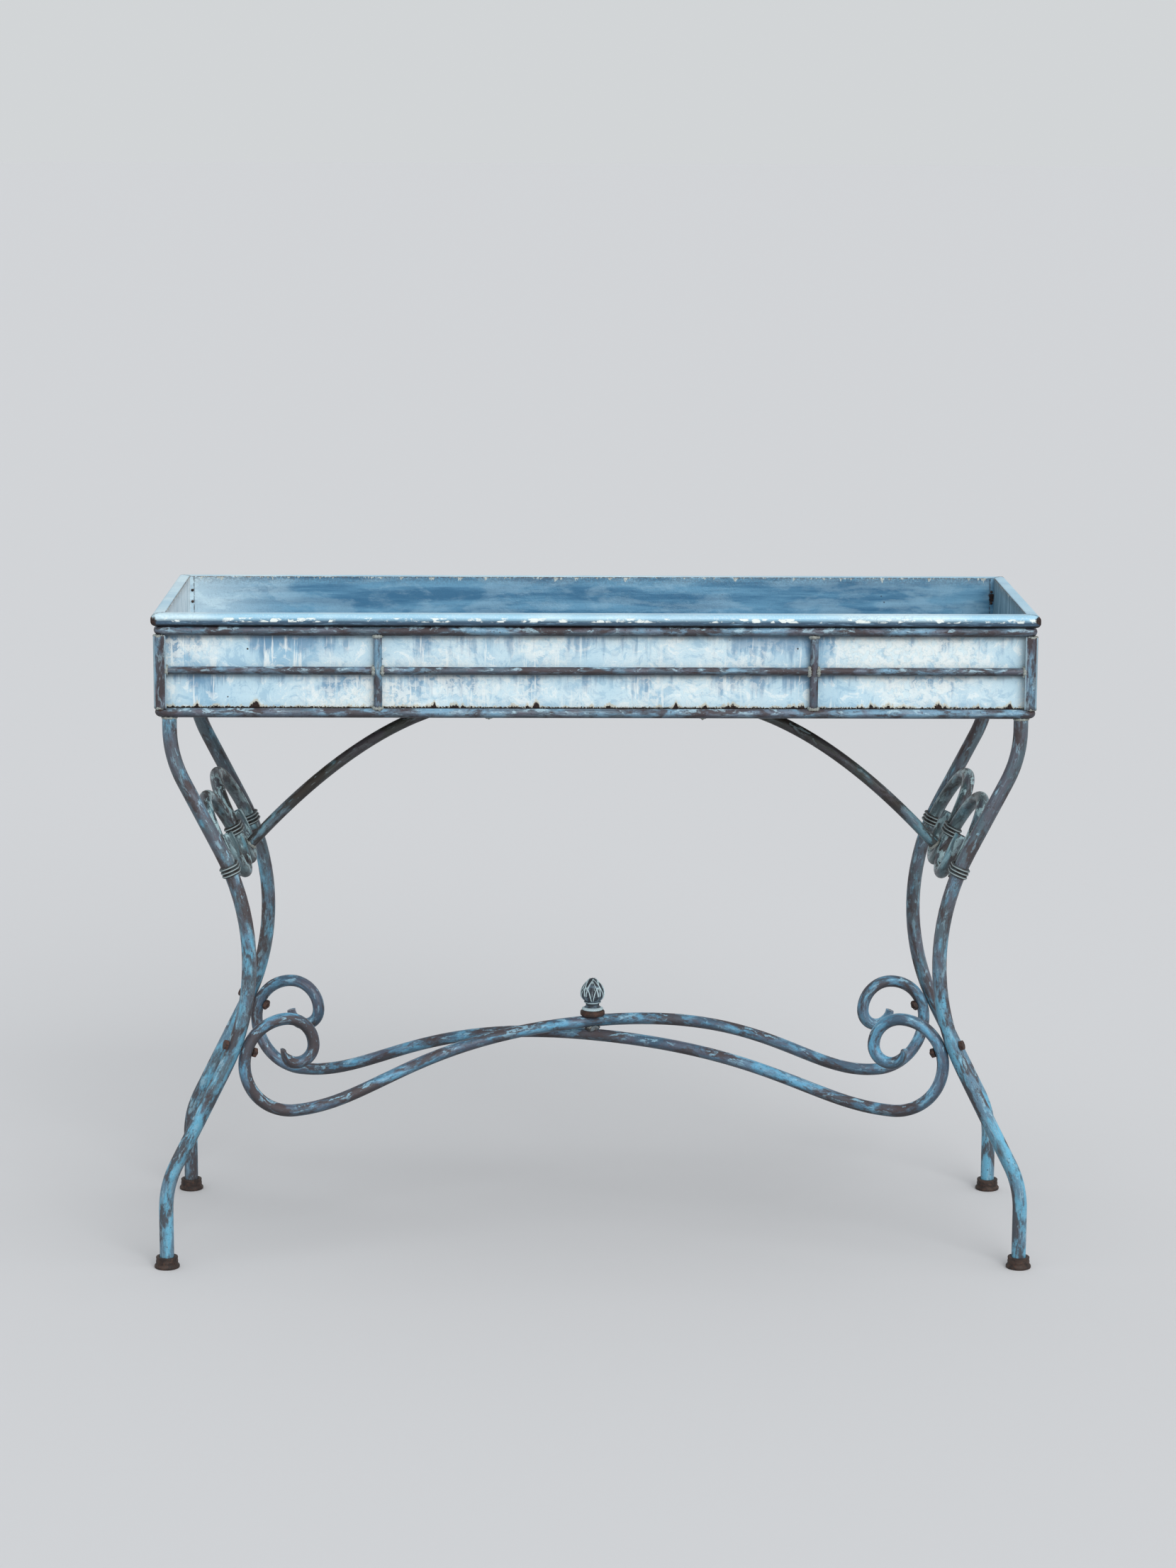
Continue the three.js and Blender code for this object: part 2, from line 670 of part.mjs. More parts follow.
// ---- End scrolls and collars ----
// One scroll in depth and drop: up beside its leg, over a wide bend, down beside its twin, and round a hook.
function scrollPath(side, face) {
  const wide = (outerLimbY - innerLimbY) / 2;
  const wideY = (outerLimbY + innerLimbY) / 2;
  const wideDrop = SCROLL_DROP - SCROLL_STRAIGHT;
  const hookY = innerLimbY + SCROLL_HOOK;
  const path = [
    new THREE.Vector2(outerLimbY, SCROLL_DROP + SCROLL_TAIL),
    ...arc(wideY, wideDrop, wide, 0, -Math.PI, RING_STEP),
    ...arc(hookY, SCROLL_DROP, SCROLL_HOOK, Math.PI, 0, RING_STEP),
    new THREE.Vector2(hookY + SCROLL_HOOK, SCROLL_DROP - SCROLL_TIP),
  ];
  return path.map((p) => endPoint(side, face * p.x, p.y));
}

// A strap pulled round two tubes that lie side by side along Y: an outline of two arcs and two tangents.
function strap(path, near, nearRadius, far, farRadius) {
  const open = Math.acos((nearRadius - farRadius) / (far - near));
  path.absarc(far, 0, farRadius, -open, open, false);
  path.absarc(near, 0, nearRadius, open, 2 * Math.PI - open, false);
  path.closePath();
  return path;
}

// The tubes may bend a little inside their collar, so its hole is that much wider.
function collar(side, drop, near, nearRadius, far, farRadius) {
  const top = legAtDrop(drop - COLLAR_HEIGHT / 2).at;
  const bottom = legAtDrop(drop + COLLAR_HEIGHT / 2).at;
  const middle = legAtDrop(drop).at;
  const chord = top.clone().add(bottom).divideScalar(2);
  const fit = COLLAR_FIT + chord.distanceTo(middle);
  const wall = fit + COLLAR_WALL;
  const shape = strap(new THREE.Shape(), near, nearRadius + wall, far, farRadius + wall);
  shape.holes.push(strap(new THREE.Path(), near, nearRadius + fit, far, farRadius + fit));
  const geometry = new THREE.ExtrudeGeometry(shape, {
    depth: COLLAR_HEIGHT,
    bevelEnabled: false,
    curveSegments: COLLAR_SEGMENTS,
  });
  geometry.translate(0, 0, -COLLAR_HEIGHT / 2);
  const at = chord.lerp(middle, 0.5);
  const down = bottom.sub(top).normalize();
  const up = new THREE.Vector3(-side * down.x, 0, -down.y);
  const depth = new THREE.Vector3(0, 1, 0);
  const normal = new THREE.Vector3().crossVectors(up, depth);
  geometry.applyMatrix4(new THREE.Matrix4().makeBasis(depth, normal, up));
  return geometry.translate(side * at.x, 0, at.y);
}

for (const [sideName, side] of Object.entries(sides)) {
  for (const [faceName, face] of Object.entries(faces)) {
    const place = faceName + "_" + sideName;
    add("scroll_" + place, bar(scrollPath(side, face), scrollRadius), barPaint);
    const limb = [face * outerLimbY, scrollRadius];
    const leg = [face * legY, legRadius];
    const pair = face < 0 ? [...leg, ...limb] : [...limb, ...leg];
    add("collar_" + place, collar(side, SCROLL_DROP + OUTER_COLLAR_LOW, ...pair), collarPaint);
  }
  // The inner limbs have begun to part where the centre collar ends, so its hole is that much longer.
  const wide = (outerLimbY - innerLimbY) / 2;
  const climb = Math.max(0, CENTRE_COLLAR_HIGH - SCROLL_STRAIGHT + COLLAR_HEIGHT / 2);
  const parting = wide - Math.sqrt(wide * wide - climb * climb);
  const reach = innerLimbY + parting;
  add(
    "collar_centre_" + sideName,
    collar(side, SCROLL_DROP - CENTRE_COLLAR_HIGH, -reach, scrollRadius, reach, scrollRadius),
    collarPaint,
  );
}

// ---- Braces: from the feet of the inner limbs up to the cross bars, in the bench's middle plane ----
for (const [sideName, side] of Object.entries(sides)) {
  const { at, down } = legAtDrop(SCROLL_DROP + BRACE_LOW);
  const inward = new THREE.Vector2(down.y, -down.x); // square to the leg, towards the middle
  const lean = (BRACE_LEAN * Math.PI) / 180;
  const rise = new THREE.Vector2(-Math.cos(lean), Math.sin(lean));
  const corner = braceRadius * Math.abs(rise.cross(inward)); // the end face is not square to the limbs
  const start = at.clone().addScaledVector(inward, scrollRadius + GAP + corner);
  const end = new THREE.Vector2(
    CROSS_BAR_SPAN / 2,
    crossBarZ - CROSS_BAR_DIA / 2 - GAP - braceRadius,
  );
  const line = new THREE.CubicBezierCurve(
    start,
    start.clone().addScaledVector(rise, BRACE_PULL),
    new THREE.Vector2(end.x + BRACE_FLAT, end.y),
    end,
  );
  const tail = new THREE.Vector2(end.x - BRACE_DIA, end.y); // past the cross bar
  const knots = [...line.getPoints(CURVE_STEPS), tail];
  add(
    "brace_" + sideName,
    bar(
      knots.map((p) => new THREE.Vector3(side * p.x, 0, p.y)),
      braceRadius,
    ),
    barPaint,
  );
}

// ---- Finial: a bud on a short neck, on a thick washer above the crossing ----
const washerZ = UPPER_PEAK + stretcherRadius + GAP;
const washerRadius = FINIAL_BASE_DIA / 2;
add(
  "finial_base",
  turned(
    [
      [0, 0],
      [washerRadius - WASHER_EDGE, 0],
      [washerRadius, WASHER_EDGE],
      [washerRadius, FINIAL_BASE_HEIGHT - WASHER_EDGE],
      [washerRadius - WASHER_EDGE, FINIAL_BASE_HEIGHT],
      [0, FINIAL_BASE_HEIGHT],
    ],
    new THREE.Vector3(0, crossingY, washerZ),
    poleUp,
    ROUND_SIDES,
  ),
  rustyIron,
);
const neck = FINIAL_NECK_DIA / 2;
const bud = FINIAL_BUD_DIA / 2;
add(
  "finial",
  turned(
    [
      [0, 0],
      [neck + NECK_FLARE, 0],
      [neck, NECK_FROM],
      [neck, NECK_TO],
      ...BUD_SHAPE.map(([radius, height]) => [bud * radius, FINIAL_HEIGHT * height]),
      [0, FINIAL_HEIGHT],
    ],
    new THREE.Vector3(0, crossingY, washerZ + FINIAL_BASE_HEIGHT + GAP),
    poleUp,
    ROUND_SIDES,
  ),
  castIron,
);

export default bench;
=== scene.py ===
# %% [markdown]
# # A weathered potting bench
# The bench is a folded sheet tray that hangs by its rolled rim in a cradle of round bar, on four bowed
# tube legs. Everything was painted blue years ago, and the paint has since chipped, chalked and run.
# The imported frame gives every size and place. This script only makes finer meshes around the same lines
# and gives them worn finishes, so each piece starts from the frame's own boxes.

# %% Load the frame
import math
import random

import bmesh
import bpy
import numpy as np
from mathutils import Matrix, Vector, noise


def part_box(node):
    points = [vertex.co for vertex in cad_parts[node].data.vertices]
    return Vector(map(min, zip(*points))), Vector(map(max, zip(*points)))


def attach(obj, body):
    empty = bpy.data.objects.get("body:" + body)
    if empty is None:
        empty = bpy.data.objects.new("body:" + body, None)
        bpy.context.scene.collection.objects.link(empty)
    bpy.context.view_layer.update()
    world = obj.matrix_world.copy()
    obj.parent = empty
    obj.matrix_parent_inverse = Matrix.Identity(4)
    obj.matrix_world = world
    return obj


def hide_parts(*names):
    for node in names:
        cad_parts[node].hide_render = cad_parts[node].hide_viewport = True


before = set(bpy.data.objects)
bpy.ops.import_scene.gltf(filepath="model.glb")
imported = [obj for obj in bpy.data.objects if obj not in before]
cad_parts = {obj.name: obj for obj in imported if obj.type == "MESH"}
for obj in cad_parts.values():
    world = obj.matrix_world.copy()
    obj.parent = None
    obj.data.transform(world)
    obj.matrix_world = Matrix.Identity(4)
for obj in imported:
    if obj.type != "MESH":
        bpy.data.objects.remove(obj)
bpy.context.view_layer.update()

scene = bpy.context.scene

# %% [markdown]
# ## Sizes
# Metres, +Z up, the front faces -Y. What the frame can tell is read from its boxes. The rest restates
# the design: a bend's corner and radius can't be read from a box. Later cells compare what they make
# with the frame, so a size that no longer agrees shows up in the printout.

# %% Sizes from the frame
def middle_of(node):
    low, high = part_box(node)
    return (low + high) / 2


GAP = 0.0003  # left for each weld
rail_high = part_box("top_rail")[1]
RAIL_RADIUS = 0.00635
RAIL_X = rail_high.x - RAIL_RADIUS
RAIL_Y = rail_high.y - RAIL_RADIUS
TOP_RAIL_Z = middle_of("top_rail").z
BOTTOM_RAIL_Z = middle_of("bottom_rail").z
MID_Z = middle_of("mid_rod_front_centre").z
STAND_TOP = TOP_RAIL_Z - RAIL_RADIUS
UPRIGHT_X = middle_of("upright_front_right").x
RIM_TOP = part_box("tray_trough")[1].z
TRAY_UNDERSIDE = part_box("tray_trough")[0].z
HALF_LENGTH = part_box("tray_end_right")[1].x
HALF_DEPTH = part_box("tray_trough")[1].y
CROSS_BAR_X = middle_of("cross_bar_right").x
CROSS_BAR_Z = middle_of("cross_bar_right").z
print("rails at", round(RAIL_X, 4), round(RAIL_Y, 4))
print("heights", round(TOP_RAIL_Z, 4), round(MID_Z, 4), round(BOTTOM_RAIL_Z, 4))

# %% Sizes restated from the design
SHEET = 0.0015
RIM_HEIGHT = 0.0175
RIM_NOSE = 0.007
LIP_START = 0.0045
TRAY_X = HALF_LENGTH - 0.0185
TRAY_Y = HALF_DEPTH - 0.0185
MID_RADIUS = 0.0055
UPRIGHT_RADIUS = 0.00575
CROSS_BAR_RADIUS = 0.005
LEG_RADIUS = 0.010
SCROLL_RADIUS = 0.009
BRACE_RADIUS = 0.008
STRETCHER_RADIUS = 0.0085
SIDES = {"left": -1, "right": 1}
FACES = {"front": -1, "rear": 1}
CORNERS = [(face + "_" + side, SIDES[side], FACES[face]) for face in FACES for side in SIDES]
print("a corner is named like", CORNERS[0][0])

# %% [markdown]
# ## Camera
# A long lens from five metres away, a little above the bench and looking slightly down, so that the
# tray's inside shows as a narrow band. The lens is set against a sensor height, because the picture
# is taller than it is wide.

# %% Camera
LENS = 87.8842676  # millimetres, for a sensor 36 mm high
YAW, PITCH, ROLL = 0.01316, 0.18597, 0.0042
CAMERA_AT = Vector((-0.07766, -5.31127, 1.6491))
lens = bpy.data.cameras.new("studio_camera")
lens.sensor_fit = "VERTICAL"
lens.sensor_height = 36.0
lens.lens = LENS
lens.clip_end = 200
forward = Vector((math.sin(YAW) * math.cos(PITCH), math.cos(YAW) * math.cos(PITCH), -math.sin(PITCH)))
level = Vector((math.cos(YAW), -math.sin(YAW), 0))
above = level.cross(forward)
right = math.cos(ROLL) * level + math.sin(ROLL) * above
above = math.cos(ROLL) * above - math.sin(ROLL) * level
camera = bpy.data.objects.new("studio_camera", lens)
camera.matrix_world = Matrix.Translation(CAMERA_AT) @ Matrix((right, above, -forward)).transposed().to_4x4()
scene.collection.objects.link(camera)
scene.camera = camera
print("lens", round(lens.lens, 1), "mm")

# %% [markdown]
# ## Floor and light
# A plain pale floor out to the horizon, an even sky, a very broad light from above and a narrower one
# from the front right, so that the round bars keep a bright and a dark side. The floor's tone is chosen
# to meet the sky without a visible line.

# %% Floor and light
floor_mesh = bpy.data.meshes.new("floor")
FLOOR_REACH = 60.0
FLOOR_SIDES = 64
turns = [2 * math.pi * i / FLOOR_SIDES for i in range(FLOOR_SIDES)]
floor_edge = [(FLOOR_REACH * math.cos(a), FLOOR_REACH * math.sin(a), 0) for a in turns]
floor_mesh.from_pydata(floor_edge, [], [list(range(FLOOR_SIDES))])
floor = bpy.data.objects.new("floor", floor_mesh)
scene.collection.objects.link(floor)
floor_finish = bpy.data.materials.new("floor_pale")
floor_finish.use_nodes = True
floor_shader = floor_finish.node_tree.nodes["Principled BSDF"]
floor_shader.inputs["Base Color"].default_value = (0.547, 0.551, 0.564, 1)
floor_shader.inputs["Roughness"].default_value = 0.9
floor_mesh.materials.append(floor_finish)

world = bpy.data.worlds.new("studio")
world.use_nodes = True
sky_light = world.node_tree.nodes["Background"]
sky_light.inputs["Color"].default_value = (0.95, 0.98, 1.0, 1)
sky_light.inputs["Strength"].default_value = 0.68
scene.world = world


def soft_sun(name, towards, spread, strength):
    light = bpy.data.lights.new(name, "SUN")
    light.angle = math.radians(spread)
    light.energy = strength
    holder = bpy.data.objects.new(name, light)
    holder.rotation_euler = Vector(towards).to_track_quat("-Z", "Y").to_euler()
    scene.collection.objects.link(holder)


soft_sun("overhead", (-0.25, 0.35, -1.0), 60, 0.9)
soft_sun("front", (-0.35, 0.9, -0.6), 34, 1.45)
scene.view_settings.view_transform = "Standard"
print("two broad lights and an even sky")

# %% [markdown]
# ## Node helpers
# A finish is worked out from a few kinds of step: a noise, a threshold, a mix. Small functions that
# return the new node's output socket let a material read like a formula. They work in materials, in
# shader groups and, for the plain maths, in Geometry Nodes.


# %% Node helpers
def feed(tree, value, socket):
    if isinstance(value, bpy.types.NodeSocket):
        tree.links.new(value, socket)
    else:
        socket.default_value = value


def calc(tree, how, *values):
    step = tree.nodes.new("ShaderNodeMath")
    step.operation = how
    for value, socket in zip(values, step.inputs):
        feed(tree, value, socket)
    return step.outputs[0]


def times(tree, a, b):
    return calc(tree, "MULTIPLY", a, b)


def plus(tree, a, b):
    return calc(tree, "ADD", a, b)


def minus(tree, a, b):
    return calc(tree, "SUBTRACT", a, b)


def over(tree, a, b):
    return calc(tree, "DIVIDE", a, b)


def scaled(tree, value, by, shift):
    return calc(tree, "MULTIPLY_ADD", value, by, shift)


def ramp(tree, value, low, high, to_low=0.0, to_high=1.0):
    step = tree.nodes.new("ShaderNodeMapRange")
    step.interpolation_type = "SMOOTHSTEP"
    for number, socket in zip((value, low, high, to_low, to_high), step.inputs):
        feed(tree, number, socket)
    return step.outputs[0]


def mix(tree, share, a, b):
    step = tree.nodes.new("ShaderNodeMix")
    step.data_type = "RGBA"
    for value, index in ((share, 0), (a, 6), (b, 7)):
        feed(tree, value, step.inputs[index])
    return step.outputs[2]


def tint(tree, tone, paint, share, strength=1.0):
    """Lays a paint over a tone where share says, at this strength."""
    return mix(tree, share if strength == 1.0 else times(tree, share, strength), tone, paint)


def vector_calc(tree, how, place, by):
    step = tree.nodes.new("ShaderNodeVectorMath")
    step.operation = how
    feed(tree, place, step.inputs[0])
    feed(tree, by, step.inputs[1])
    return step.outputs[0]


def stretched(tree, place, scale):
    return vector_calc(tree, "MULTIPLY", place, scale)


def moved(tree, place, offset):
    return vector_calc(tree, "ADD", place, offset)


def combined(tree, x, y, z):
    step = tree.nodes.new("ShaderNodeCombineXYZ")
    for value, socket in zip((x, y, z), step.inputs):
        feed(tree, value, socket)
    return step.outputs[0]


def separated(tree, place):
    step = tree.nodes.new("ShaderNodeSeparateXYZ")
    feed(tree, place, step.inputs[0])
    return step.outputs


def clouds(tree, place, scale, detail=4.0, rough=0.55, warp=0.0):
    step = tree.nodes.new("ShaderNodeTexNoise")
    names = {"Scale": scale, "Detail": detail, "Roughness": rough, "Distortion": warp, "Vector": place}
    for name, value in names.items():
        feed(tree, value, step.inputs[name])
    return step.outputs["Fac"]


def colour(red, green, blue):
    """A colour as a painter's chart gives it, 0 to 255, turned into the linear values that nodes take."""
    parts = [part / 255 for part in (red, green, blue)]
    linear = [p / 12.92 if p <= 0.04045 else ((p + 0.055) / 1.055) ** 2.4 for p in parts]
    return (*linear, 1.0)


# %% [markdown]
# ## Shared effects
# The same few things happen to every painted part: the coat wears off in patches, it is peppered with
# chips, and the steel under it rusts. Each effect is a shader group with named inputs, built once, so
# that one part may be more worn than another without a second recipe.


# %% A shader group with named sockets
def effect(name, inputs, outputs):
    tree = bpy.data.node_groups.new(name, "ShaderNodeTree")
    for label, kind, value in inputs:
        socket = tree.interface.new_socket(label, in_out="INPUT", socket_type="NodeSocket" + kind)
        if value is not None:
            socket.default_value = value
    for label, kind in outputs:
        tree.interface.new_socket(label, in_out="OUTPUT", socket_type="NodeSocket" + kind)
    entry = tree.nodes.new("NodeGroupInput")
    leave = tree.nodes.new("NodeGroupOutput")
    return tree, entry.outputs, leave.inputs


def use(tree, group, **values):
    step = tree.nodes.new("ShaderNodeGroup")
    step.node_tree = group
    for name, value in values.items():
        feed(tree, value, step.inputs[name.replace("_", " ").capitalize()])
    return step.outputs


# %% Worn patches
patches, given, result = effect(
    "worn_patches",
    [("Place", "Vector", None), ("Size", "Float", 0.05), ("Cover", "Float", 0.3),
     ("Softness", "Float", 0.03)],
    [("Mask", "Float")],
)
pitch = over(patches, 1.0, given["Size"])
broad = clouds(patches, given["Place"], pitch, detail=2.0, warp=0.6)
ragged = clouds(patches, given["Place"], times(patches, pitch, 6.0), detail=6.0, rough=0.7)
height = scaled(patches, minus(patches, ragged, 0.5), 0.45, broad)
level_line = scaled(patches, given["Cover"], -0.5, 0.75)
low_line = minus(patches, level_line, given["Softness"])
high_line = plus(patches, level_line, given["Softness"])
feed(patches, ramp(patches, height, low_line, high_line), result["Mask"])

# %% Chips and specks
specks, given, result = effect(
    "specks",
    [("Place", "Vector", None), ("Spacing", "Float", 0.01), ("Size", "Float", 0.2), ("Cover", "Float", 0.3)],
    [("Mask", "Float")],
)
cells = specks.nodes.new("ShaderNodeTexVoronoi")
wobble = clouds(specks, given["Place"], over(specks, 3.0, given["Spacing"]), detail=3.0)
feed(specks, given["Place"], cells.inputs["Vector"])
feed(specks, over(specks, 1.0, given["Spacing"]), cells.inputs["Scale"])
reach = times(specks, given["Size"], times(specks, wobble, 2.0))
inside = ramp(specks, cells.outputs["Distance"], reach, times(specks, reach, 0.6))
pick = specks.nodes.new("ShaderNodeSeparateColor")
specks.links.new(cells.outputs["Color"], pick.inputs[0])
chosen = calc(specks, "LESS_THAN", pick.outputs[0], given["Cover"])
feed(specks, times(specks, inside, chosen), result["Mask"])

# %% Rust
rust, given, result = effect(
    "rust",
    [("Place", "Vector", None), ("Grain", "Float", 0.006)],
    [("Color", "Color"), ("Roughness", "Float"), ("Height", "Float")],
)
grain_pitch = over(rust, 1.0, given["Grain"])
coarse = clouds(rust, given["Place"], grain_pitch, detail=6.0, rough=0.65)
fine = clouds(rust, given["Place"], times(rust, grain_pitch, 5.0), detail=4.0, rough=0.7)
crust = mix(rust, ramp(rust, coarse, 0.36, 0.62), colour(34, 24, 22), colour(104, 62, 42))
feed(rust, mix(rust, ramp(rust, fine, 0.56, 0.72), crust, colour(150, 96, 62)), result["Color"])
feed(rust, ramp(rust, fine, 0.3, 0.7, 0.72, 0.95), result["Roughness"])
feed(rust, scaled(rust, fine, 0.4, coarse), result["Height"])

print(len(bpy.data.node_groups), "shader groups")


# %% [markdown]
# ## Finishes
# Every finish starts the same way: a material whose patterns are placed by the object's own
# coordinates, and so stay put when the tray is lifted out. The last step joins the worked-out colour,
# roughness and height to the Principled BSDF.


# %% A material to fill in
def finish(name):
    material = bpy.data.materials.new(name)
    material.use_nodes = True
    tree = material.node_tree
    place = tree.nodes.new("ShaderNodeTexCoord").outputs["Object"]
    return material, tree, place


def attribute(tree, name):
    step = tree.nodes.new("ShaderNodeAttribute")
    step.attribute_name = name
    return step.outputs["Fac"]


def vector_attribute(tree, name):
    step = tree.nodes.new("ShaderNodeAttribute")
    step.attribute_name = name
    return step.outputs["Vector"]


def surface(tree, base, roughness, height, depth, metallic=0.0):
    shader = tree.nodes["Principled BSDF"]
    bump = tree.nodes.new("ShaderNodeBump")
    bump.inputs["Strength"].default_value = 0.9
    bump.inputs["Distance"].default_value = depth
    feed(tree, height, bump.inputs["Height"])
    feed(tree, base, shader.inputs["Base Color"])
    feed(tree, roughness, shader.inputs["Roughness"])
    feed(tree, metallic, shader.inputs["Metallic"])
    tree.links.new(bump.outputs["Normal"], shader.inputs["Normal"])


# %% [markdown]
# The bars wear in layers. A dull coat lies over most of a bar, fresher blue shows where rain keeps it
# clean, and lavender-brown steel comes through in patches drawn out along the bar. So the patterns are
# placed by two attributes that the sweep leaves on the mesh: run, the distance along the bar, and
# section, the place in its cross-section. The attribute sky says how far a spot faces up: pale scuffs
# are kept to upward faces, as worn paint and a painted highlight, and undersides are painted dark as
# painted shade. Welds, marked by the attribute joint, are crusted.


# %% Worn blue bar paint
def bar_paint(name, tones, fresh_cover, bare_cover, pale_cover, low_fresh=0.0, low_from=(0.46, 0.22)):
    fresh, aged, bare, pale = [colour(*tone) for tone in tones]
    material, tree, place = finish(name)
    run = attribute(tree, "run")
    section = separated(tree, vector_attribute(tree, "section"))
    along = combined(tree, times(tree, run, 0.35), section[0], section[1])
    drawn = combined(tree, times(tree, run, 0.09), section[0], section[1])
    height = separated(tree, place)[2]
    sky = attribute(tree, "sky")
    more = scaled(tree, ramp(tree, height, *low_from), low_fresh, fresh_cover)
    blue = use(tree, patches, place=along, size=0.030, cover=more, softness=0.10)["Mask"]
    elsewhere = moved(tree, along, (3.1, 1.7, 0.4))
    steel = use(tree, patches, place=elsewhere, size=0.024, cover=bare_cover, softness=0.06)["Mask"]
    elsewhere = moved(tree, along, (7.7, 0.3, 2.4))
    dusk = use(tree, patches, place=elsewhere, size=0.020, cover=0.46, softness=0.1)["Mask"]
    elsewhere = moved(tree, along, (1.3, 4.4, 0.9))
    scuff = use(tree, patches, place=elsewhere, size=0.007, cover=pale_cover, softness=0.05)["Mask"]
    streak = ramp(tree, clouds(tree, drawn, 420.0, detail=4.0), 0.54, 0.70)
    pits = use(tree, specks, place=place, spacing=0.0042, size=0.34, cover=0.2)["Mask"]
    red = use(tree, rust, place=place, grain=0.004)
    grain = clouds(tree, place, 620.0, detail=6.0, rough=0.7)
    weld = attribute(tree, "joint")
    tone = mix(tree, blue, aged, fresh)
    tone = tint(tree, tone, colour(88, 80, 92), dusk, 0.6)
    tone = tint(tree, tone, pale, times(tree, streak, scaled(tree, blue, 0.45, 0.2)))
    tone = tint(tree, tone, bare, steel, 0.88)
    # pale scuffs kept to upward faces: worn paint and a painted highlight along the tops of the bars
    chalk_and_highlight = times(tree, scuff, ramp(tree, sky, -0.3, 0.5, 0.25, 0.85))
    tone = tint(tree, tone, pale, chalk_and_highlight)
    tone = tint(tree, tone, colour(30, 34, 40), ramp(tree, grain, 0.45, 0.7), 0.3)
    tone = tint(tree, tone, bare, pits, 0.55)
    crusted = ramp(tree, times(tree, weld, plus(tree, grain, 0.3)), 0.34, 0.66)
    tone = tint(tree, tone, red["Color"], crusted, 0.6)
    rubbed = ramp(tree, times(tree, attribute(tree, "edge"), plus(tree, grain, 0.4)), 0.4, 0.8)
    tone = tint(tree, tone, pale, rubbed, 0.8)
    # painted shade: the undersides of every bar are darkened towards near black, by how far they face down
    shade = times(tree, ramp(tree, sky, 0.35, -0.85), 0.72)
    tone = tint(tree, tone, colour(26, 28, 32), shade)
    shine = mix(tree, steel, (0.38, 0.38, 0.38, 1), (0.58, 0.58, 0.58, 1))
    shine = tint(tree, shine, (0.85, 0.85, 0.85, 1), crusted)
    coat = minus(tree, 1.0, calc(tree, "MAXIMUM", steel, times(tree, pits, 0.7)))
    relief = scaled(tree, grain, 0.6, times(tree, coat, 0.5))
    surface(tree, tone, shine, relief, 0.0007, 0.0)
    return material


rail_finish = bar_paint(
    "rail_paint", ((112, 154, 180), (72, 88, 102), (58, 44, 46), (160, 190, 204)), 0.42, 0.42, 0.26,
)
leg_finish = bar_paint(
    "leg_paint", ((104, 174, 204), (84, 102, 112), (66, 54, 54), (150, 190, 208)), 0.28, 0.38, 0.24, 0.42,
)
stretcher_finish = bar_paint(
    "stretcher_paint", ((96, 162, 196), (62, 90, 112), (66, 54, 54), (140, 184, 206)), 0.48, 0.42, 0.24,
)
scroll_finish = bar_paint(
    "scroll_paint", ((112, 162, 178), (72, 94, 100), (52, 44, 42), (172, 204, 210)), 0.34, 0.40, 0.40,
)
brace_finish = bar_paint(
    "brace_paint", ((108, 154, 170), (66, 68, 62), (50, 42, 34), (140, 162, 168)),
    0.12, 0.42, 0.2, 0.6, (0.66, 0.58),
)
print("five bar finishes")

# %% [markdown]
# The small iron parts share one recipe too: bolts and welds are mostly rust, the collars have their
# paint rubbed off the ridges, and the bud keeps pale paint on the edges of its leaves. Where a part
# stands proud, its mesh carries an attribute named raised.


# %% Iron parts
def iron(name, deep, mid, raised_tone, raised_from, rusted):
    material, tree, place = finish(name)
    red = use(tree, rust, place=place, grain=0.004)
    grain = clouds(tree, place, 900.0, detail=5.0, rough=0.7)
    worn = use(tree, patches, place=place, size=0.012, cover=0.45, softness=0.08)["Mask"]
    raised = attribute(tree, "raised")
    tone = mix(tree, worn, deep, mid)
    tone = tint(tree, tone, red["Color"], times(tree, ramp(tree, grain, 0.42, 0.66), rusted))
    rubbed = ramp(tree, scaled(tree, minus(tree, grain, 0.5), 0.7, raised), raised_from, 1.0)
    tone = tint(tree, tone, raised_tone, rubbed)
    shine = ramp(tree, grain, 0.3, 0.7, 0.5, 0.8)
    surface(tree, tone, shine, scaled(tree, red["Height"], 0.5, grain), 0.0005, 0.15)
    return material


rusty_finish = iron("rusty_iron", colour(34, 26, 24), colour(62, 44, 38), colour(96, 74, 62), 0.75, 0.75)
collar_finish = iron("collar_iron", colour(38, 40, 40), colour(64, 78, 82), colour(150, 166, 168), 0.62, 0.3)
bud_finish = iron("cast_bud", colour(44, 52, 60), colour(82, 102, 116), colour(206, 230, 236), 0.34, 0.10)
foot_finish = iron("foot_cap", colour(32, 27, 25), colour(58, 46, 40), colour(92, 76, 64), 0.8, 0.45)
weld_finish = iron("weld_bead", colour(62, 62, 62), colour(104, 118, 124), colour(176, 182, 174), 0.55, 0.34)
print("five iron finishes")

# %% [markdown]
# The tray is galvanised sheet under thin paint. Outside, the coat has chalked almost white and rain
# has left blue-grey runs; just under each bar the sheet is darkened with painted shade and some dirt,
# and along its foot, where water stands behind the rail, it rusts. The inside is still steel blue, paler
# towards the left; the right end wall's inside is painted darker than the left's, as painted shade. The
# rolled rim is sky blue on top, painted slate underneath as painted shade and nearly black at its foot
# as a painted shadow, with white chips along the roll. Its mesh tells the three regions apart by
# attributes.

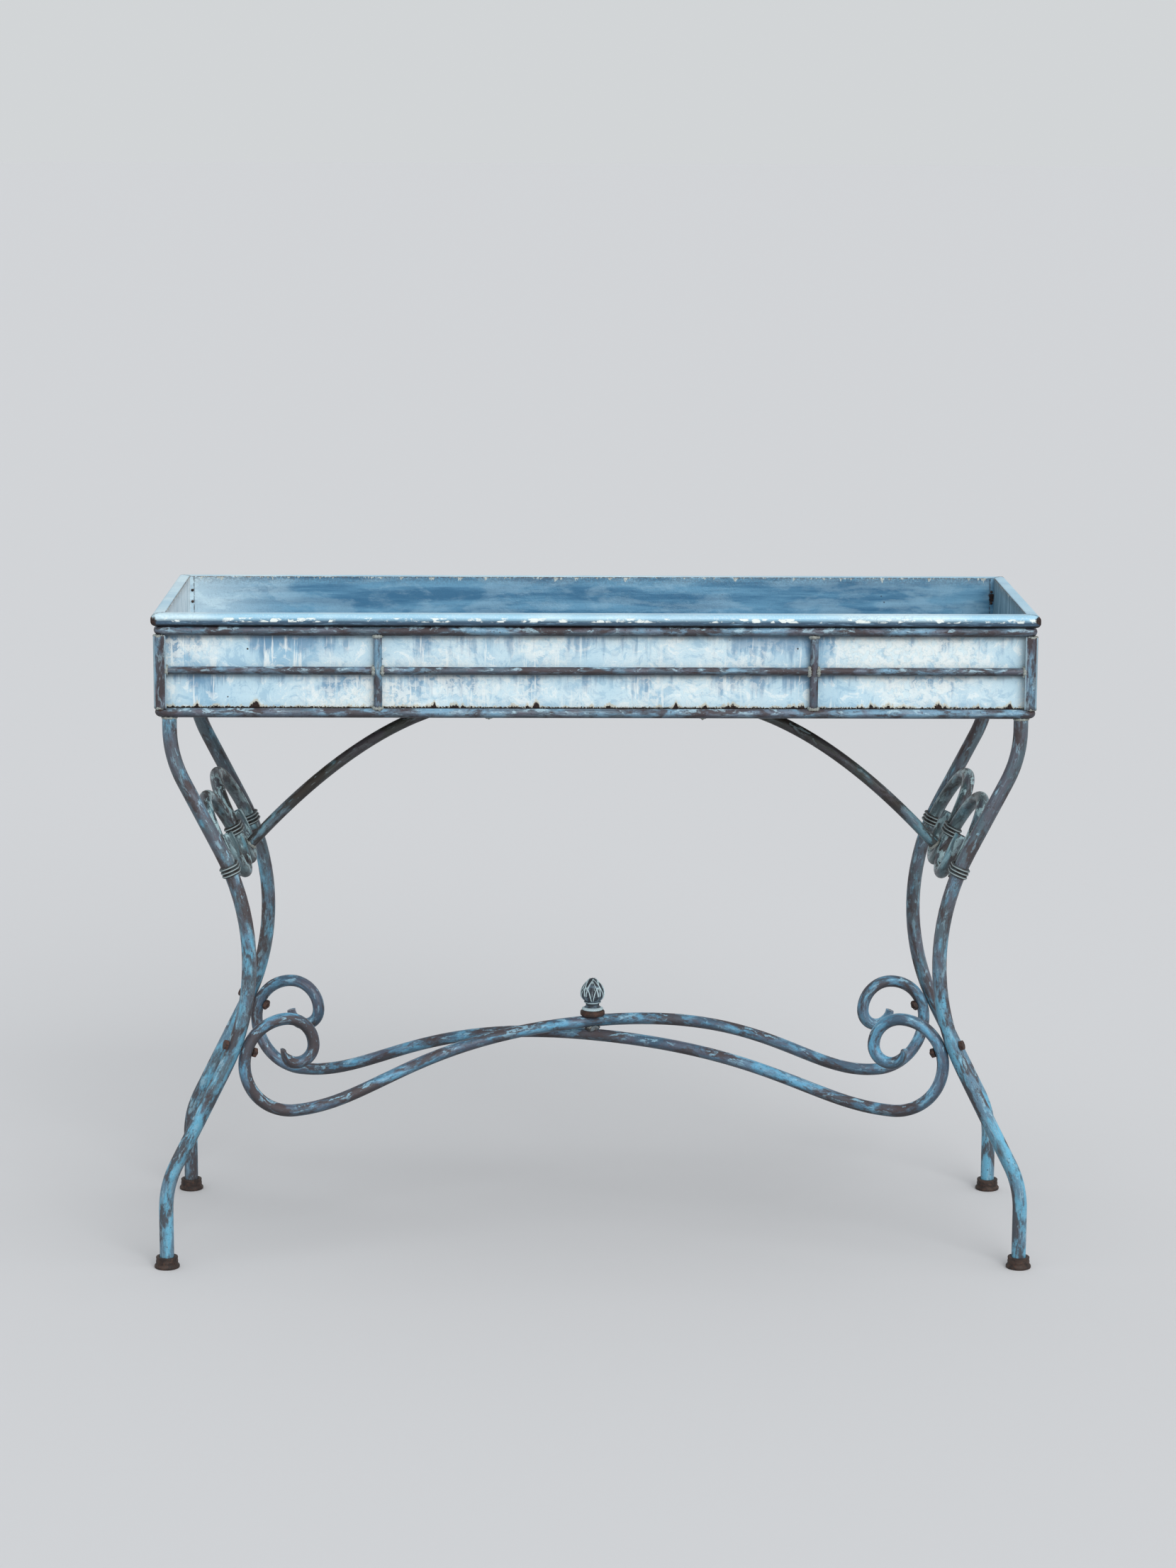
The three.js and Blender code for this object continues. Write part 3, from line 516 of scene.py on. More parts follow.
# %% Tray paint: the weathered outside
tray_finish, tree, place = finish("tray_paint")
grain = clouds(tree, place, 420.0, detail=6.0, rough=0.65)
drift = clouds(tree, place, 5.0, detail=3.0)
red = use(tree, rust, place=place, grain=0.005)
tray_x, _, tray_z = separated(tree, place)
flat_place = stretched(tree, place, (1.0, 1.0, 0.0))
lower_row = calc(tree, "LESS_THAN", tray_z, MID_Z)
bar_edge = scaled(tree, lower_row, MID_Z - MID_RADIUS - STAND_TOP, STAND_TOP)
below_bar = minus(tree, bar_edge, tray_z)
hang = ramp(tree, below_bar, 0.050, 0.0)
blueing = clouds(tree, place, 7.0, detail=5.0, rough=0.6, warp=0.5)
thread_place = stretched(tree, place, (150.0, 150.0, 10.0))
threads = clouds(tree, thread_place, 1.0, detail=4.0, rough=0.6)
wide_threads = clouds(tree, stretched(tree, place, (46.0, 46.0, 7.0)), 1.0, detail=3.0, rough=0.55)
wet = scaled(tree, threads, 0.40, times(tree, wide_threads, 0.45))
wet = plus(tree, wet, times(tree, hang, scaled(tree, blueing, 0.9, -0.30)))
dripping = ramp(tree, wet, 0.52, 0.66)
outside = mix(tree, ramp(tree, drift, 0.35, 0.65), colour(190, 220, 234), colour(222, 239, 243))
outside = tint(tree, outside, colour(126, 176, 206), ramp(tree, blueing, 0.46, 0.66), 0.72)
smears = clouds(tree, place, 38.0, detail=6.0, rough=0.7, warp=1.2)
outside = tint(tree, outside, colour(140, 184, 210), ramp(tree, smears, 0.52, 0.60), 0.5)
outside = tint(tree, outside, colour(240, 247, 246), ramp(tree, smears, 0.45, 0.40), 0.6)
outside = tint(tree, outside, colour(92, 136, 172), dripping, 0.66)
white_threads = clouds(tree, moved(tree, thread_place, (31.0, 7.0, 3.0)), 1.0, detail=4.0, rough=0.6)
white_runs = times(tree, ramp(tree, white_threads, 0.56, 0.62), ramp(tree, blueing, 0.46, 0.56))
outside = tint(tree, outside, colour(236, 244, 244), white_runs, 0.75)
crystals = use(tree, patches, place=place, size=0.0085, cover=0.5, softness=0.05)["Mask"]
lumps = times(tree, crystals, ramp(tree, drift, 0.42, 0.6))
outside = tint(tree, outside, colour(238, 244, 242), lumps, 0.7)
outside = tint(tree, outside, colour(120, 150, 172), ramp(tree, grain, 0.52, 0.74), 0.28)
# painted shade with some dirt: a dark band on the outside of the sheet just below each bar's lower edge
shade_and_dirt_depth = scaled(tree, clouds(tree, flat_place, 40.0, detail=4.0), 0.014, 0.001)
shade_and_dirt_under_bars = ramp(tree, over(tree, below_bar, shade_and_dirt_depth), 1.0, 0.1)
outside = tint(tree, outside, colour(70, 84, 94), shade_and_dirt_under_bars, 0.62)
pinholes = use(tree, specks, place=place, spacing=0.03, size=0.055, cover=0.4)["Mask"]
outside = tint(tree, outside, colour(40, 30, 28), pinholes)

# %% Tray paint: the inside
end_wall = attribute(tree, "end_wall")
left_end = ramp(tree, tray_x, -0.40, -0.62)
brushed = clouds(tree, stretched(tree, place, (5.0, 20.0, 60.0)), 1.0, detail=6.0, rough=0.65)
long_place = stretched(tree, place, (0.5, 1.0, 1.4))
cloudy = use(tree, patches, place=long_place, size=0.035, cover=0.44, softness=0.10)["Mask"]
inside_tone = mix(tree, ramp(tree, brushed, 0.36, 0.66), colour(66, 116, 148), colour(112, 162, 190))
clouded = times(tree, cloudy, scaled(tree, left_end, 0.7, 0.22))
inside_tone = tint(tree, inside_tone, colour(196, 222, 232), clouded)
inside_tone = tint(tree, inside_tone, colour(214, 232, 238), left_end, 0.75)
inside_tone = tint(tree, inside_tone, colour(60, 92, 124), ramp(tree, grain, 0.5, 0.74), 0.25)
wall_streaks = clouds(tree, stretched(tree, place, (170.0, 170.0, 12.0)), 1.0, detail=5.0, rough=0.65)
# the inner end walls: the left one is near white, and the right one is painted darker blue-grey as painted
# shade
side_base = mix(tree, ramp(tree, tray_x, 0.2, -0.2), colour(96, 128, 142), colour(244, 247, 246))
side_mark = mix(tree, ramp(tree, tray_x, 0.2, -0.2), colour(170, 194, 202), colour(176, 190, 196))
side_tone = mix(tree, ramp(tree, wall_streaks, 0.44, 0.62), side_base, side_mark)
inside_tone = tint(tree, inside_tone, side_tone, end_wall)
dots = use(tree, specks, place=place, spacing=0.026, size=0.06, cover=0.45)["Mask"]
inside_tone = tint(tree, inside_tone, colour(36, 32, 36), dots, 0.85)
from_top = minus(tree, RIM_TOP, tray_z)
chip_noise = clouds(tree, flat_place, 70.0, detail=5.0, rough=0.7)
chip_depth = times(tree, ramp(tree, chip_noise, 0.46, 0.72), 0.009)
top_chips = calc(tree, "LESS_THAN", from_top, chip_depth)
inside_tone = tint(tree, inside_tone, colour(222, 224, 212), top_chips, 0.8)

# %% Tray paint: the rolled rim
roll = attribute(tree, "roll")
# painted shade: the lower half of the rolled rim is painted dark slate
roll_shade = ramp(tree, roll, 0.32, 0.62)
rim_tone = mix(tree, ramp(tree, drift, 0.38, 0.62), colour(146, 190, 212), colour(190, 216, 226))
rim_tone = tint(tree, rim_tone, colour(112, 156, 184), ramp(tree, brushed, 0.45, 0.7), 0.5)
rim_tone = tint(tree, rim_tone, colour(222, 234, 236), ramp(tree, grain, 0.5, 0.72), 0.35)
rim_tone = tint(tree, rim_tone, colour(58, 84, 106), roll_shade)
scratched = clouds(tree, stretched(tree, place, (40.0, 40.0, 420.0)), 1.0, detail=5.0, rough=0.7)
rim_tone = tint(tree, rim_tone, colour(120, 158, 184), times(tree, roll_shade, ramp(tree, scratched, 0.52, 0.7)))
long_place = stretched(tree, place, (0.5, 0.5, 1.0))
chips = use(tree, specks, place=long_place, spacing=0.0065, size=0.60, cover=0.72)["Mask"]
chip_line = times(tree, ramp(tree, roll, 0.24, 0.32), ramp(tree, roll, 0.66, 0.54))
chip_zone = use(tree, patches, place=place, size=0.05, cover=0.66, softness=0.06)["Mask"]
chip_mask = times(tree, chips, times(tree, chip_line, chip_zone))
# painted shadow: a near-black band along the bottom of the roll, where it sits on the rail
rim_tone = tint(tree, rim_tone, colour(12, 14, 18), ramp(tree, roll, 0.72, 0.92))
rim_tone = tint(tree, rim_tone, colour(232, 240, 236), chip_mask)

# %% Tray paint: rust and the finished surface
inner, rim_part = attribute(tree, "inner"), attribute(tree, "rim")
tone = mix(tree, inner, outside, inside_tone)
tone = tint(tree, tone, rim_tone, rim_part)
above_foot = minus(tree, tray_z, BOTTOM_RAIL_Z + RAIL_RADIUS - 0.0005)
bumps = clouds(tree, flat_place, 42.0, detail=3.0, rough=0.6)
rust_depth = scaled(tree, ramp(tree, bumps, 0.52, 0.72), 0.010, 0.0012)
halo_depth = scaled(tree, ramp(tree, bumps, 0.46, 0.72), 0.0125, 0.002)
outer_side = times(tree, minus(tree, 1.0, inner), minus(tree, 1.0, rim_part))
broken = scaled(tree, minus(tree, grain, 0.5), 0.012, above_foot)
halo = times(tree, ramp(tree, over(tree, broken, halo_depth), 1.1, 0.7), outer_side)
foot_rust = times(tree, ramp(tree, over(tree, broken, rust_depth), 1.05, 0.75), outer_side)
tone = tint(tree, tone, colour(206, 196, 170), halo, 0.7)
dark_rust = mix(tree, ramp(tree, grain, 0.5, 0.7), colour(36, 26, 24), red["Color"])
edge_rust = times(tree, attribute(tree, "seam"), ramp(tree, grain, 0.34, 0.56))
stained = times(tree, attribute(tree, "joint"), plus(tree, grain, 0.4))
rusty = calc(tree, "MAXIMUM", foot_rust, times(tree, edge_rust, 0.85))
rusty = calc(tree, "MAXIMUM", rusty, ramp(tree, stained, 0.42, 0.62))
tone = tint(tree, tone, dark_rust, rusty)
shine = mix(tree, rim_part, (0.46, 0.46, 0.46, 1), (0.32, 0.32, 0.32, 1))
shine = tint(tree, shine, (0.42, 0.42, 0.42, 1), inner)
shine = tint(tree, shine, (0.85, 0.85, 0.85, 1), rusty)
relief = scaled(tree, lumps, 0.5, times(tree, grain, 0.5))
relief = minus(tree, relief, times(tree, calc(tree, "MAXIMUM", chip_mask, rusty), 0.6))
surface(tree, tone, shine, relief, 0.0004, 0.1)
print("tray finish with", len(tree.nodes), "nodes")

# %% [markdown]
# ## Geometry Nodes: a bar along a line
# Legs, rails, scrolls, braces and stretchers are all the same thing, a round section carried along a
# bent line. One Geometry Nodes tree makes them: the line becomes a curve, gets evenly spaced rings,
# is swept with a circle and closed at its ends. An open tube end is bored: the end face shrinks to
# the bore and is pushed back inside. A solid bar's bore is zero, so its ends stay flat.


# %% A geometry tree with named inputs
def geometry_tree(name, inputs):
    made = bpy.data.node_groups.new(name, "GeometryNodeTree")
    made.interface.new_socket("Geometry", in_out="INPUT", socket_type="NodeSocketGeometry")
    for label, kind, value in inputs:
        socket = made.interface.new_socket(label, in_out="INPUT", socket_type="NodeSocket" + kind)
        if value is not None:
            socket.default_value = value
    made.interface.new_socket("Geometry", in_out="OUTPUT", socket_type="NodeSocketGeometry")
    entry = made.nodes.new("NodeGroupInput")
    leave = made.nodes.new("NodeGroupOutput")
    return made, entry.outputs, leave.inputs["Geometry"]


def step(tree, kind, inputs=(), **settings):
    made = tree.nodes.new("GeometryNode" + kind)
    for name, value in settings.items():
        setattr(made, name, value)
    for name, value in dict(inputs).items():
        feed(tree, value, made.inputs[name])
    return made.outputs


def named(tree, geometry, name, value, kind="FLOAT"):
    """The geometry with this value stored under a name."""
    inputs = {"Geometry": geometry, "Name": name, "Value": value}
    return step(tree, "StoreNamedAttribute", inputs, data_type=kind)[0]


def recall(tree, name, kind="FLOAT_VECTOR"):
    return step(tree, "InputNamedAttribute", {"Name": name}, data_type=kind)["Attribute"]


def aimed(tree, direction):
    """The turn that points a copy's own Z along this direction."""
    made = tree.nodes.new("FunctionNodeAlignRotationToVector")
    made.axis = "Z"
    feed(tree, direction, made.inputs["Vector"])
    return made.outputs[0]


def close_tree(tree, geometry, material, leave):
    real = step(tree, "RealizeInstances", {"Geometry": geometry})[0]
    painted = step(tree, "SetMaterial", {"Geometry": real, "Material": material})[0]
    feed(tree, painted, leave)


# %% The bar tree
BAR, given, leave = geometry_tree(
    "bar_along_a_line",
    [("Radius", "Float", 0.006), ("Sides", "Int", 24), ("Spacing", "Float", 0.006),
     ("Bore", "Float", 0.0), ("Start", "Float", 0.0), ("Material", "Material", None)],
)
line = step(BAR, "MeshToCurve", {"Mesh": given["Geometry"]})[0]
even = step(BAR, "ResampleCurve", {"Curve": line, "Length": given["Spacing"]}, mode="LENGTH")[0]
run = plus(BAR, step(BAR, "SplineParameter")["Length"], given["Start"])
even = named(BAR, even, "run", run)
section = step(BAR, "CurvePrimitiveCircle", {"Radius": given["Radius"], "Resolution": given["Sides"]})[0]
spot = step(BAR, "InputPosition")[0]
section = named(BAR, section, "section", spot, "FLOAT_VECTOR")
swept = step(BAR, "CurveToMesh", {"Curve": even, "Profile Curve": section, "Fill Caps": True})[0]
corners = step(BAR, "InputMeshFaceNeighbors")["Vertex Count"]
caps = calc(BAR, "GREATER_THAN", corners, 4.5)
sides = calc(BAR, "LESS_THAN", corners, 4.5)
rounded = step(BAR, "SetShadeSmooth", {"Geometry": swept, "Shade Smooth": sides})[0]
rim_face = step(BAR, "ExtrudeMesh", {"Mesh": rounded, "Selection": caps, "Offset Scale": 0.0})
share = calc(BAR, "MAXIMUM", over(BAR, given["Bore"], given["Radius"]), 0.05)
ends = {"Geometry": rim_face["Mesh"], "Selection": rim_face["Top"], "Scale": share}
shrunk = step(BAR, "ScaleElements", ends)[0]
depth = times(BAR, given["Bore"], -2.0)
pushed = {"Mesh": shrunk, "Selection": rim_face["Top"], "Offset Scale": depth}
bored = step(BAR, "ExtrudeMesh", pushed)["Mesh"]
close_tree(BAR, bored, given["Material"], leave)
print("bar tree with", len(BAR.nodes), "nodes")


# %% Growing a plain mesh from a tree
def grow(name, seed, tree, values):
    source = bpy.data.objects.new(name + "_seed", seed)
    scene.collection.objects.link(source)
    modifier = source.modifiers.new("grow", "NODES")
    modifier.node_group = tree
    for item in tree.interface.items_tree:
        if item.in_out == "INPUT" and item.name in values:
            modifier[item.identifier] = values[item.name]
    graph = bpy.context.evaluated_depsgraph_get()
    mesh = bpy.data.meshes.new_from_object(source.evaluated_get(graph), depsgraph=graph)
    bpy.data.objects.remove(source)
    mesh.name = name
    return mesh


def line_seed(points, closed=False):
    seed = bpy.data.meshes.new("line")
    count = len(points)
    edges = [(i, (i + 1) % count) for i in range(count if closed else count - 1)]
    seed.from_pydata([tuple(point) for point in points], edges, [])
    return seed


# %% [markdown]
# ## Pieces
# A piece is a plain mesh on an object at the origin. It rides on its body and stands for the frame's
# node of the same name. The welds' places are collected as pieces are made, and at the end every bar
# near one is stained there.

# %% Pieces and stains
made_pieces = {}
weld_spots = []


def piece(name, mesh, nodes, body="frame"):
    thing = bpy.data.objects.new("bench_" + name, mesh)
    scene.collection.objects.link(thing)
    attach(thing, body)
    if nodes:
        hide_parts(*nodes)
    made_pieces[name] = thing
    return thing


def weld(at, axis, reach, bead=0.0027):
    weld_spots.append((Vector(at), Vector(axis).normalized(), reach, bead))


def places(mesh):
    values = np.zeros(len(mesh.vertices) * 3)
    mesh.vertices.foreach_get("co", values)
    return values.reshape(-1, 3)


def write_places(mesh, values):
    mesh.vertices.foreach_set("co", values.ravel())
    mesh.update()


def normals_of(mesh):
    values = np.zeros(len(mesh.vertices) * 3)
    mesh.vertices.foreach_get("normal", values)
    return values.reshape(-1, 3)


def mark(mesh, name, values):
    layer = mesh.attributes.get(name) or mesh.attributes.new(name, "FLOAT", "POINT")
    layer.data.foreach_set("value", np.asarray(values, np.float32))


def bar(name, points, radius, material, closed=False, sides=24, bore=0.0, spacing=0.006):
    values = {"Radius": radius, "Sides": sides, "Spacing": spacing, "Bore": bore, "Material": material}
    values["Start"] = 1.7 * len(made_pieces)
    return grow(name, line_seed(points, closed), BAR, values)


def mark_vectors(mesh, name, values):
    layer = mesh.attributes.get(name) or mesh.attributes.new(name, "FLOAT_VECTOR", "POINT")
    layer.data.foreach_set("vector", np.asarray(values, np.float32).ravel())


def place_pattern(mesh, run, section):
    """For a mesh that wasn't swept: says where along and across the bar each vertex is."""
    mark(mesh, "run", run)
    mark_vectors(mesh, "section", section)


def point_seed(name, points):
    seed = bpy.data.meshes.new(name)
    seed.from_pydata([tuple(point) for point in points], [], [])
    return seed


# %% [markdown]
# ## Bent lines
# A smith bends a bar between straight stretches, so a line is described by its corners and the radius
# of each bend. The same helper lays out the legs, the rails and the folds of the tray's sheet.


# %% Arcs and bends
def arc(centre, radius, start, end, pitch=math.radians(3)):
    count = max(2, math.ceil(abs(end - start) / pitch - 1e-6))
    angles = [start + (end - start) * i / count for i in range(count + 1)]
    return [Vector((centre[0] + radius * math.cos(a), centre[1] + radius * math.sin(a))) for a in angles]


def bent(corners, pitch=math.radians(3)):
    points = []
    for i, (at, bend) in enumerate(corners):
        at = Vector(at)
        if not bend:
            points.append(at)
            continue
        into = (at - Vector(corners[i - 1][0])).normalized()
        out = (Vector(corners[(i + 1) % len(corners)][0]) - at).normalized()
        turn = into.angle(out)
        side = math.copysign(1, into.x * out.y - into.y * out.x)
        start = at - into * bend * math.tan(turn / 2)
        centre = start + Vector((-into.y, into.x)) * bend * side
        first = math.atan2(start.y - centre.y, start.x - centre.x)
        points += arc(centre, bend, first, first + side * turn, pitch)
    return points


def spaced(points, longest):
    """Adds points so that no straight stretch is longer than this."""
    dense = [points[0]]
    for a, b in zip(points, points[1:]):
        count = max(1, math.ceil((b - a).length / longest))
        dense += [a.lerp(b, i / count) for i in range(1, count + 1)]
    return dense


# %% The leg's line, out from the middle and up
LEG_TOP_Z = BOTTOM_RAIL_Z - RAIL_RADIUS - GAP
LEG_X = RAIL_X - 0.01325
LEG_Y = RAIL_Y - 0.00625
FOOT_X = LEG_X + 0.0155
LEG_END_Z = 0.0043
leg_line = bent([
    ((LEG_X, LEG_TOP_Z), 0),
    ((LEG_X, LEG_TOP_Z - 0.054), 0.160),
    ((LEG_X - 0.145, 0.438), 0.342),
    ((FOOT_X, 0.117), 0.140),
    ((FOOT_X, LEG_END_Z), 0),
])
leg_runs = np.cumsum([0.0] + [(b - a).length for a, b in zip(leg_line, leg_line[1:])])
leg_xs = np.array([p.x for p in leg_line])
leg_zs = np.array([p.y for p in leg_line])


def down_the_leg(drop):
    return Vector((np.interp(drop, leg_runs, leg_xs), np.interp(drop, leg_runs, leg_zs)))


def leg_slope(drop):
    """Downward direction of the leg's line, at a length down it."""
    return (down_the_leg(drop + 0.001) - down_the_leg(drop - 0.001)).normalized()


waist_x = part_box("leg_front_right")[0].x
print("leg's waist", round(min(leg_xs) - LEG_RADIUS, 4), "and the frame's", round(waist_x, 4))

# %% [markdown]
# ## Cradle
# Two rings of bar, four angle-iron posts, four uprights and a thinner middle rod, all welded. The
# angle iron is an extruded outline with a rounded heel and rounded toes. Its heel and toes are rubbed
# pale, so its mesh carries the edge attribute there.


# %% Rails
def ring_line(z):
    bend = 0.010
    corners = [((RAIL_X, 0), 0), ((RAIL_X, RAIL_Y), bend), ((-RAIL_X, RAIL_Y), bend),
               ((-RAIL_X, -RAIL_Y), bend), ((RAIL_X, -RAIL_Y), bend)]
    return [(p.x, p.y, z) for p in bent(corners, math.radians(9))]


for name, z in (("top_rail", TOP_RAIL_Z), ("bottom_rail", BOTTOM_RAIL_Z)):
    mesh = bar(name, ring_line(z), RAIL_RADIUS, rail_finish, closed=True, spacing=0.004)
    values = places(mesh)
    place_pattern(mesh, values[:, 0], values[:, [1, 2, 0]] * (0.35, 1.0, 0.0))
    piece(name, mesh, [name])
print("rail ring", len(made_pieces["top_rail"].data.polygons), "faces")

# %% Uprights, middle rods and cross bars
STAND_LOW = BOTTOM_RAIL_Z + RAIL_RADIUS
STAND_HIGH = TOP_RAIL_Z - RAIL_RADIUS
POST_WIDTH = 0.017
WELD_INSET = 0.0004
POST_X = RAIL_X + RAIL_RADIUS
POST_Y = RAIL_Y + RAIL_RADIUS


def straight(name, start, end, radius, material):
    start, end = Vector(start), Vector(end)
    axis = (end - start).normalized()
    mesh = bar(name, [start + axis * GAP, end - axis * GAP], radius, material)
    piece(name, mesh, [name])
    weld(start + axis * WELD_INSET, axis, radius * 0.96)
    weld(end - axis * WELD_INSET, axis, radius * 0.96)


inner_x = UPRIGHT_X - UPRIGHT_RADIUS
outer_x = UPRIGHT_X + UPRIGHT_RADIUS
post_x = POST_X - POST_WIDTH
for face_name, face in FACES.items():
    y = face * RAIL_Y
    ends = (-inner_x, y, MID_Z), (inner_x, y, MID_Z)
    straight("mid_rod_" + face_name + "_centre", *ends, MID_RADIUS, rail_finish)
    for side_name, side in SIDES.items():
        spot = face_name + "_" + side_name
        x = side * UPRIGHT_X
        straight("upright_" + spot, (x, y, STAND_LOW), (x, y, STAND_HIGH), UPRIGHT_RADIUS, rail_finish)
        ends = (side * outer_x, y, MID_Z), (side * post_x, y, MID_Z)
        straight("mid_rod_" + spot, *ends, MID_RADIUS, rail_finish)
for side_name, side in SIDES.items():
    reach = POST_Y - POST_WIDTH
    x = side * RAIL_X
    straight("mid_rod_end_" + side_name, (x, -reach, MID_Z), (x, reach, MID_Z), MID_RADIUS, rail_finish)
    x = side * CROSS_BAR_X
    reach = RAIL_Y - RAIL_RADIUS
    ends = (x, -reach, CROSS_BAR_Z), (x, reach, CROSS_BAR_Z)
    straight("cross_bar_" + side_name, *ends, CROSS_BAR_RADIUS, rail_finish)
print(len(made_pieces), "pieces of cradle,", len(weld_spots), "welds")


# %% Angle-iron posts
def mesh_from(name, points, faces, material, sharp=math.radians(35)):
    mesh = bpy.data.meshes.new(name)
    mesh.from_pydata([tuple(p) for p in points], [], faces)
    builder = bmesh.new()
    builder.from_mesh(mesh)
    bmesh.ops.remove_doubles(builder, verts=builder.verts, dist=1e-6)
    bmesh.ops.recalc_face_normals(builder, faces=builder.faces)
    builder.to_mesh(mesh)
    builder.free()
    mesh.shade_smooth()
    mesh.set_sharp_from_angle(angle=sharp)
    mesh.materials.append(material)
    return mesh


def lofted(rings, closed_ends=True):
    """Points and faces of a skin over rings of the same number of points."""
    count = len(rings[0])
    points = [p for ring in rings for p in ring]
    faces = []
    for r in range(len(rings) - 1):
        for i in range(count):
            j = (i + 1) % count
            faces.append((r * count + i, r * count + j, (r + 1) * count + j, (r + 1) * count + i))
    if closed_ends:
        faces.append(tuple(range(count)))
        faces.append(tuple(range(len(points) - count, len(points))))
    return points, faces


POST_WALL = 0.003
post_outline = bent([
    ((POST_X, POST_Y - POST_WIDTH / 2), 0),
    ((POST_X, POST_Y), 0.004),
    ((POST_X - POST_WIDTH, POST_Y), 0.0006),
    ((POST_X - POST_WIDTH, POST_Y - POST_WALL), 0.0012),
    ((POST_X - POST_WALL, POST_Y - POST_WALL), 0.0015),
    ((POST_X - POST_WALL, POST_Y - POST_WIDTH), 0.0012),
    ((POST_X, POST_Y - POST_WIDTH), 0.0006),
], math.radians(15))
post_outline = spaced(post_outline, 0.003)
POST_RINGS = 24
for spot, side, face in CORNERS:
    levels = np.linspace(STAND_LOW + GAP, STAND_HIGH - GAP, POST_RINGS)
    rings = [[Vector((side * p.x, face * p.y, z)) for p in post_outline] for z in levels]
    mesh = mesh_from("corner_post_" + spot, *lofted(rings), rail_finish)
    values = places(mesh)
    place_pattern(mesh, values[:, 2], values * (1.0, 1.0, 0.0))
    from_heel = np.maximum(POST_X - np.abs(values[:, 0]), POST_Y - np.abs(values[:, 1]))
    mark(mesh, "edge", (from_heel < 0.0025) | (from_heel > POST_WIDTH - 0.0012))
    piece("corner_post_" + spot, mesh, ["corner_post_" + spot])
    heel = (side * (POST_X - 0.007), face * (POST_Y - 0.007))
    weld((*heel, STAND_LOW + 0.0006), (0, 0, 1), 0.0055, 0.0022)
    weld((*heel, STAND_HIGH - 0.0006), (0, 0, 1), 0.0055, 0.0022)
print(len(post_outline), "points round an angle iron")

# %% [markdown]
# ## Legs, scrolls and braces
# The four legs share one line. The scrolls lie on the curved surface that an end's two legs sweep, so
# each is drawn flat, as depth against length down the leg, and then laid on that surface. They are
# tube, and their upturned ends show the bore.

# %% Legs
for spot, side, face in CORNERS:
    name = "leg_" + spot
    points = [(side * p.x, face * LEG_Y, p.y) for p in leg_line]
    piece(name, bar(name, points, LEG_RADIUS, leg_finish, sides=28), [name])
    weld((side * LEG_X, face * LEG_Y, LEG_TOP_Z - 0.0006), (0, 0, 1), LEG_RADIUS * 0.93, 0.002)

# %% End scrolls
OUTER_LIMB_Y = LEG_Y - LEG_RADIUS - SCROLL_RADIUS - GAP
INNER_LIMB_Y = SCROLL_RADIUS + 0.0005
SCROLL_DROP = 0.225
HOOK = 0.037
wide_bend = (OUTER_LIMB_Y - INNER_LIMB_Y) / 2
scroll_flat = [Vector((OUTER_LIMB_Y, SCROLL_DROP + 0.020 - 0.004 * i)) for i in range(6)]
scroll_flat += arc((INNER_LIMB_Y + wide_bend, SCROLL_DROP - 0.006), wide_bend, 0, -math.pi)
scroll_flat += arc((INNER_LIMB_Y + HOOK, SCROLL_DROP), HOOK, math.pi, 0, math.radians(4))
scroll_flat += [Vector((INNER_LIMB_Y + 2 * HOOK, SCROLL_DROP - 0.009 * i)) for i in (1, 2, 3)]


def on_the_end(side, face, flat):
    at = down_the_leg(flat.y)
    return Vector((side * at.x, face * flat.x, at.y))


for spot, side, face in CORNERS:
    name = "scroll_" + spot
    points = [on_the_end(side, face, flat) for flat in scroll_flat]
    mesh = bar(name, points, SCROLL_RADIUS, scroll_finish, bore=0.0066, spacing=0.005)
    piece(name, mesh, [name])
scroll_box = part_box("scroll_front_right")
print("scroll's outer limb ends at", round(points[0].z, 4))
print("and the frame's lowest is", round(scroll_box[0].z, 4))

# %% Braces
brace_drop = SCROLL_DROP + 0.011
at = down_the_leg(brace_drop)
slope = leg_slope(brace_drop)
inward = Vector((slope.y, -slope.x))
lean = math.radians(48)
rise = Vector((-math.cos(lean), math.sin(lean)))
slant = BRACE_RADIUS * abs(rise.x * inward.y - rise.y * inward.x)
start = at + inward * (SCROLL_RADIUS + GAP + slant)
end = Vector((CROSS_BAR_X, CROSS_BAR_Z - CROSS_BAR_RADIUS - GAP - BRACE_RADIUS))


def bezier(a, b, c, d, count=40):
    points = []
    for i in range(count + 1):
        t = i / count
        s = 1 - t
        points.append(a * s**3 + b * (3 * s * s * t) + c * (3 * s * t * t) + d * t**3)
    return points


brace_line = bezier(start, start + rise * 0.104, end + Vector((0.134, 0)), end)
brace_line.append(end - Vector((2 * BRACE_RADIUS, 0)))
for side_name, side in SIDES.items():
    name = "brace_" + side_name
    points = [(side * p.x, 0, p.y) for p in brace_line]
    piece(name, bar(name, points, BRACE_RADIUS, brace_finish, bore=0.006), [name])
    weld((side * start.x, 0, start.y), (side * rise.x, 0, rise.y), BRACE_RADIUS * 0.9, 0.0024)
    weld((side * CROSS_BAR_X, 0, end.y + BRACE_RADIUS), (0, 1, 0), 0.003, 0.0025)
print("brace runs", round(sum((b - a).length for a, b in zip(brace_line, brace_line[1:])), 3), "m")

# %% [markdown]
# ## Stretchers
# Each stretcher is one bar in an upright plane through a front leg's bolt and the opposite rear leg's.
# From the crossing it sinks to a belly, turns up beside the leg and winds into a ring of ever smaller
# quarter turns. The smith hammered the free end flat, so the last stretch is squeezed after sweeping.


# %% Where the bolts sit
def leg_at_height(z):
    order = leg_zs[::-1]
    run = float(np.interp(z, order, leg_runs[::-1]))
    return down_the_leg(run), leg_slope(run)


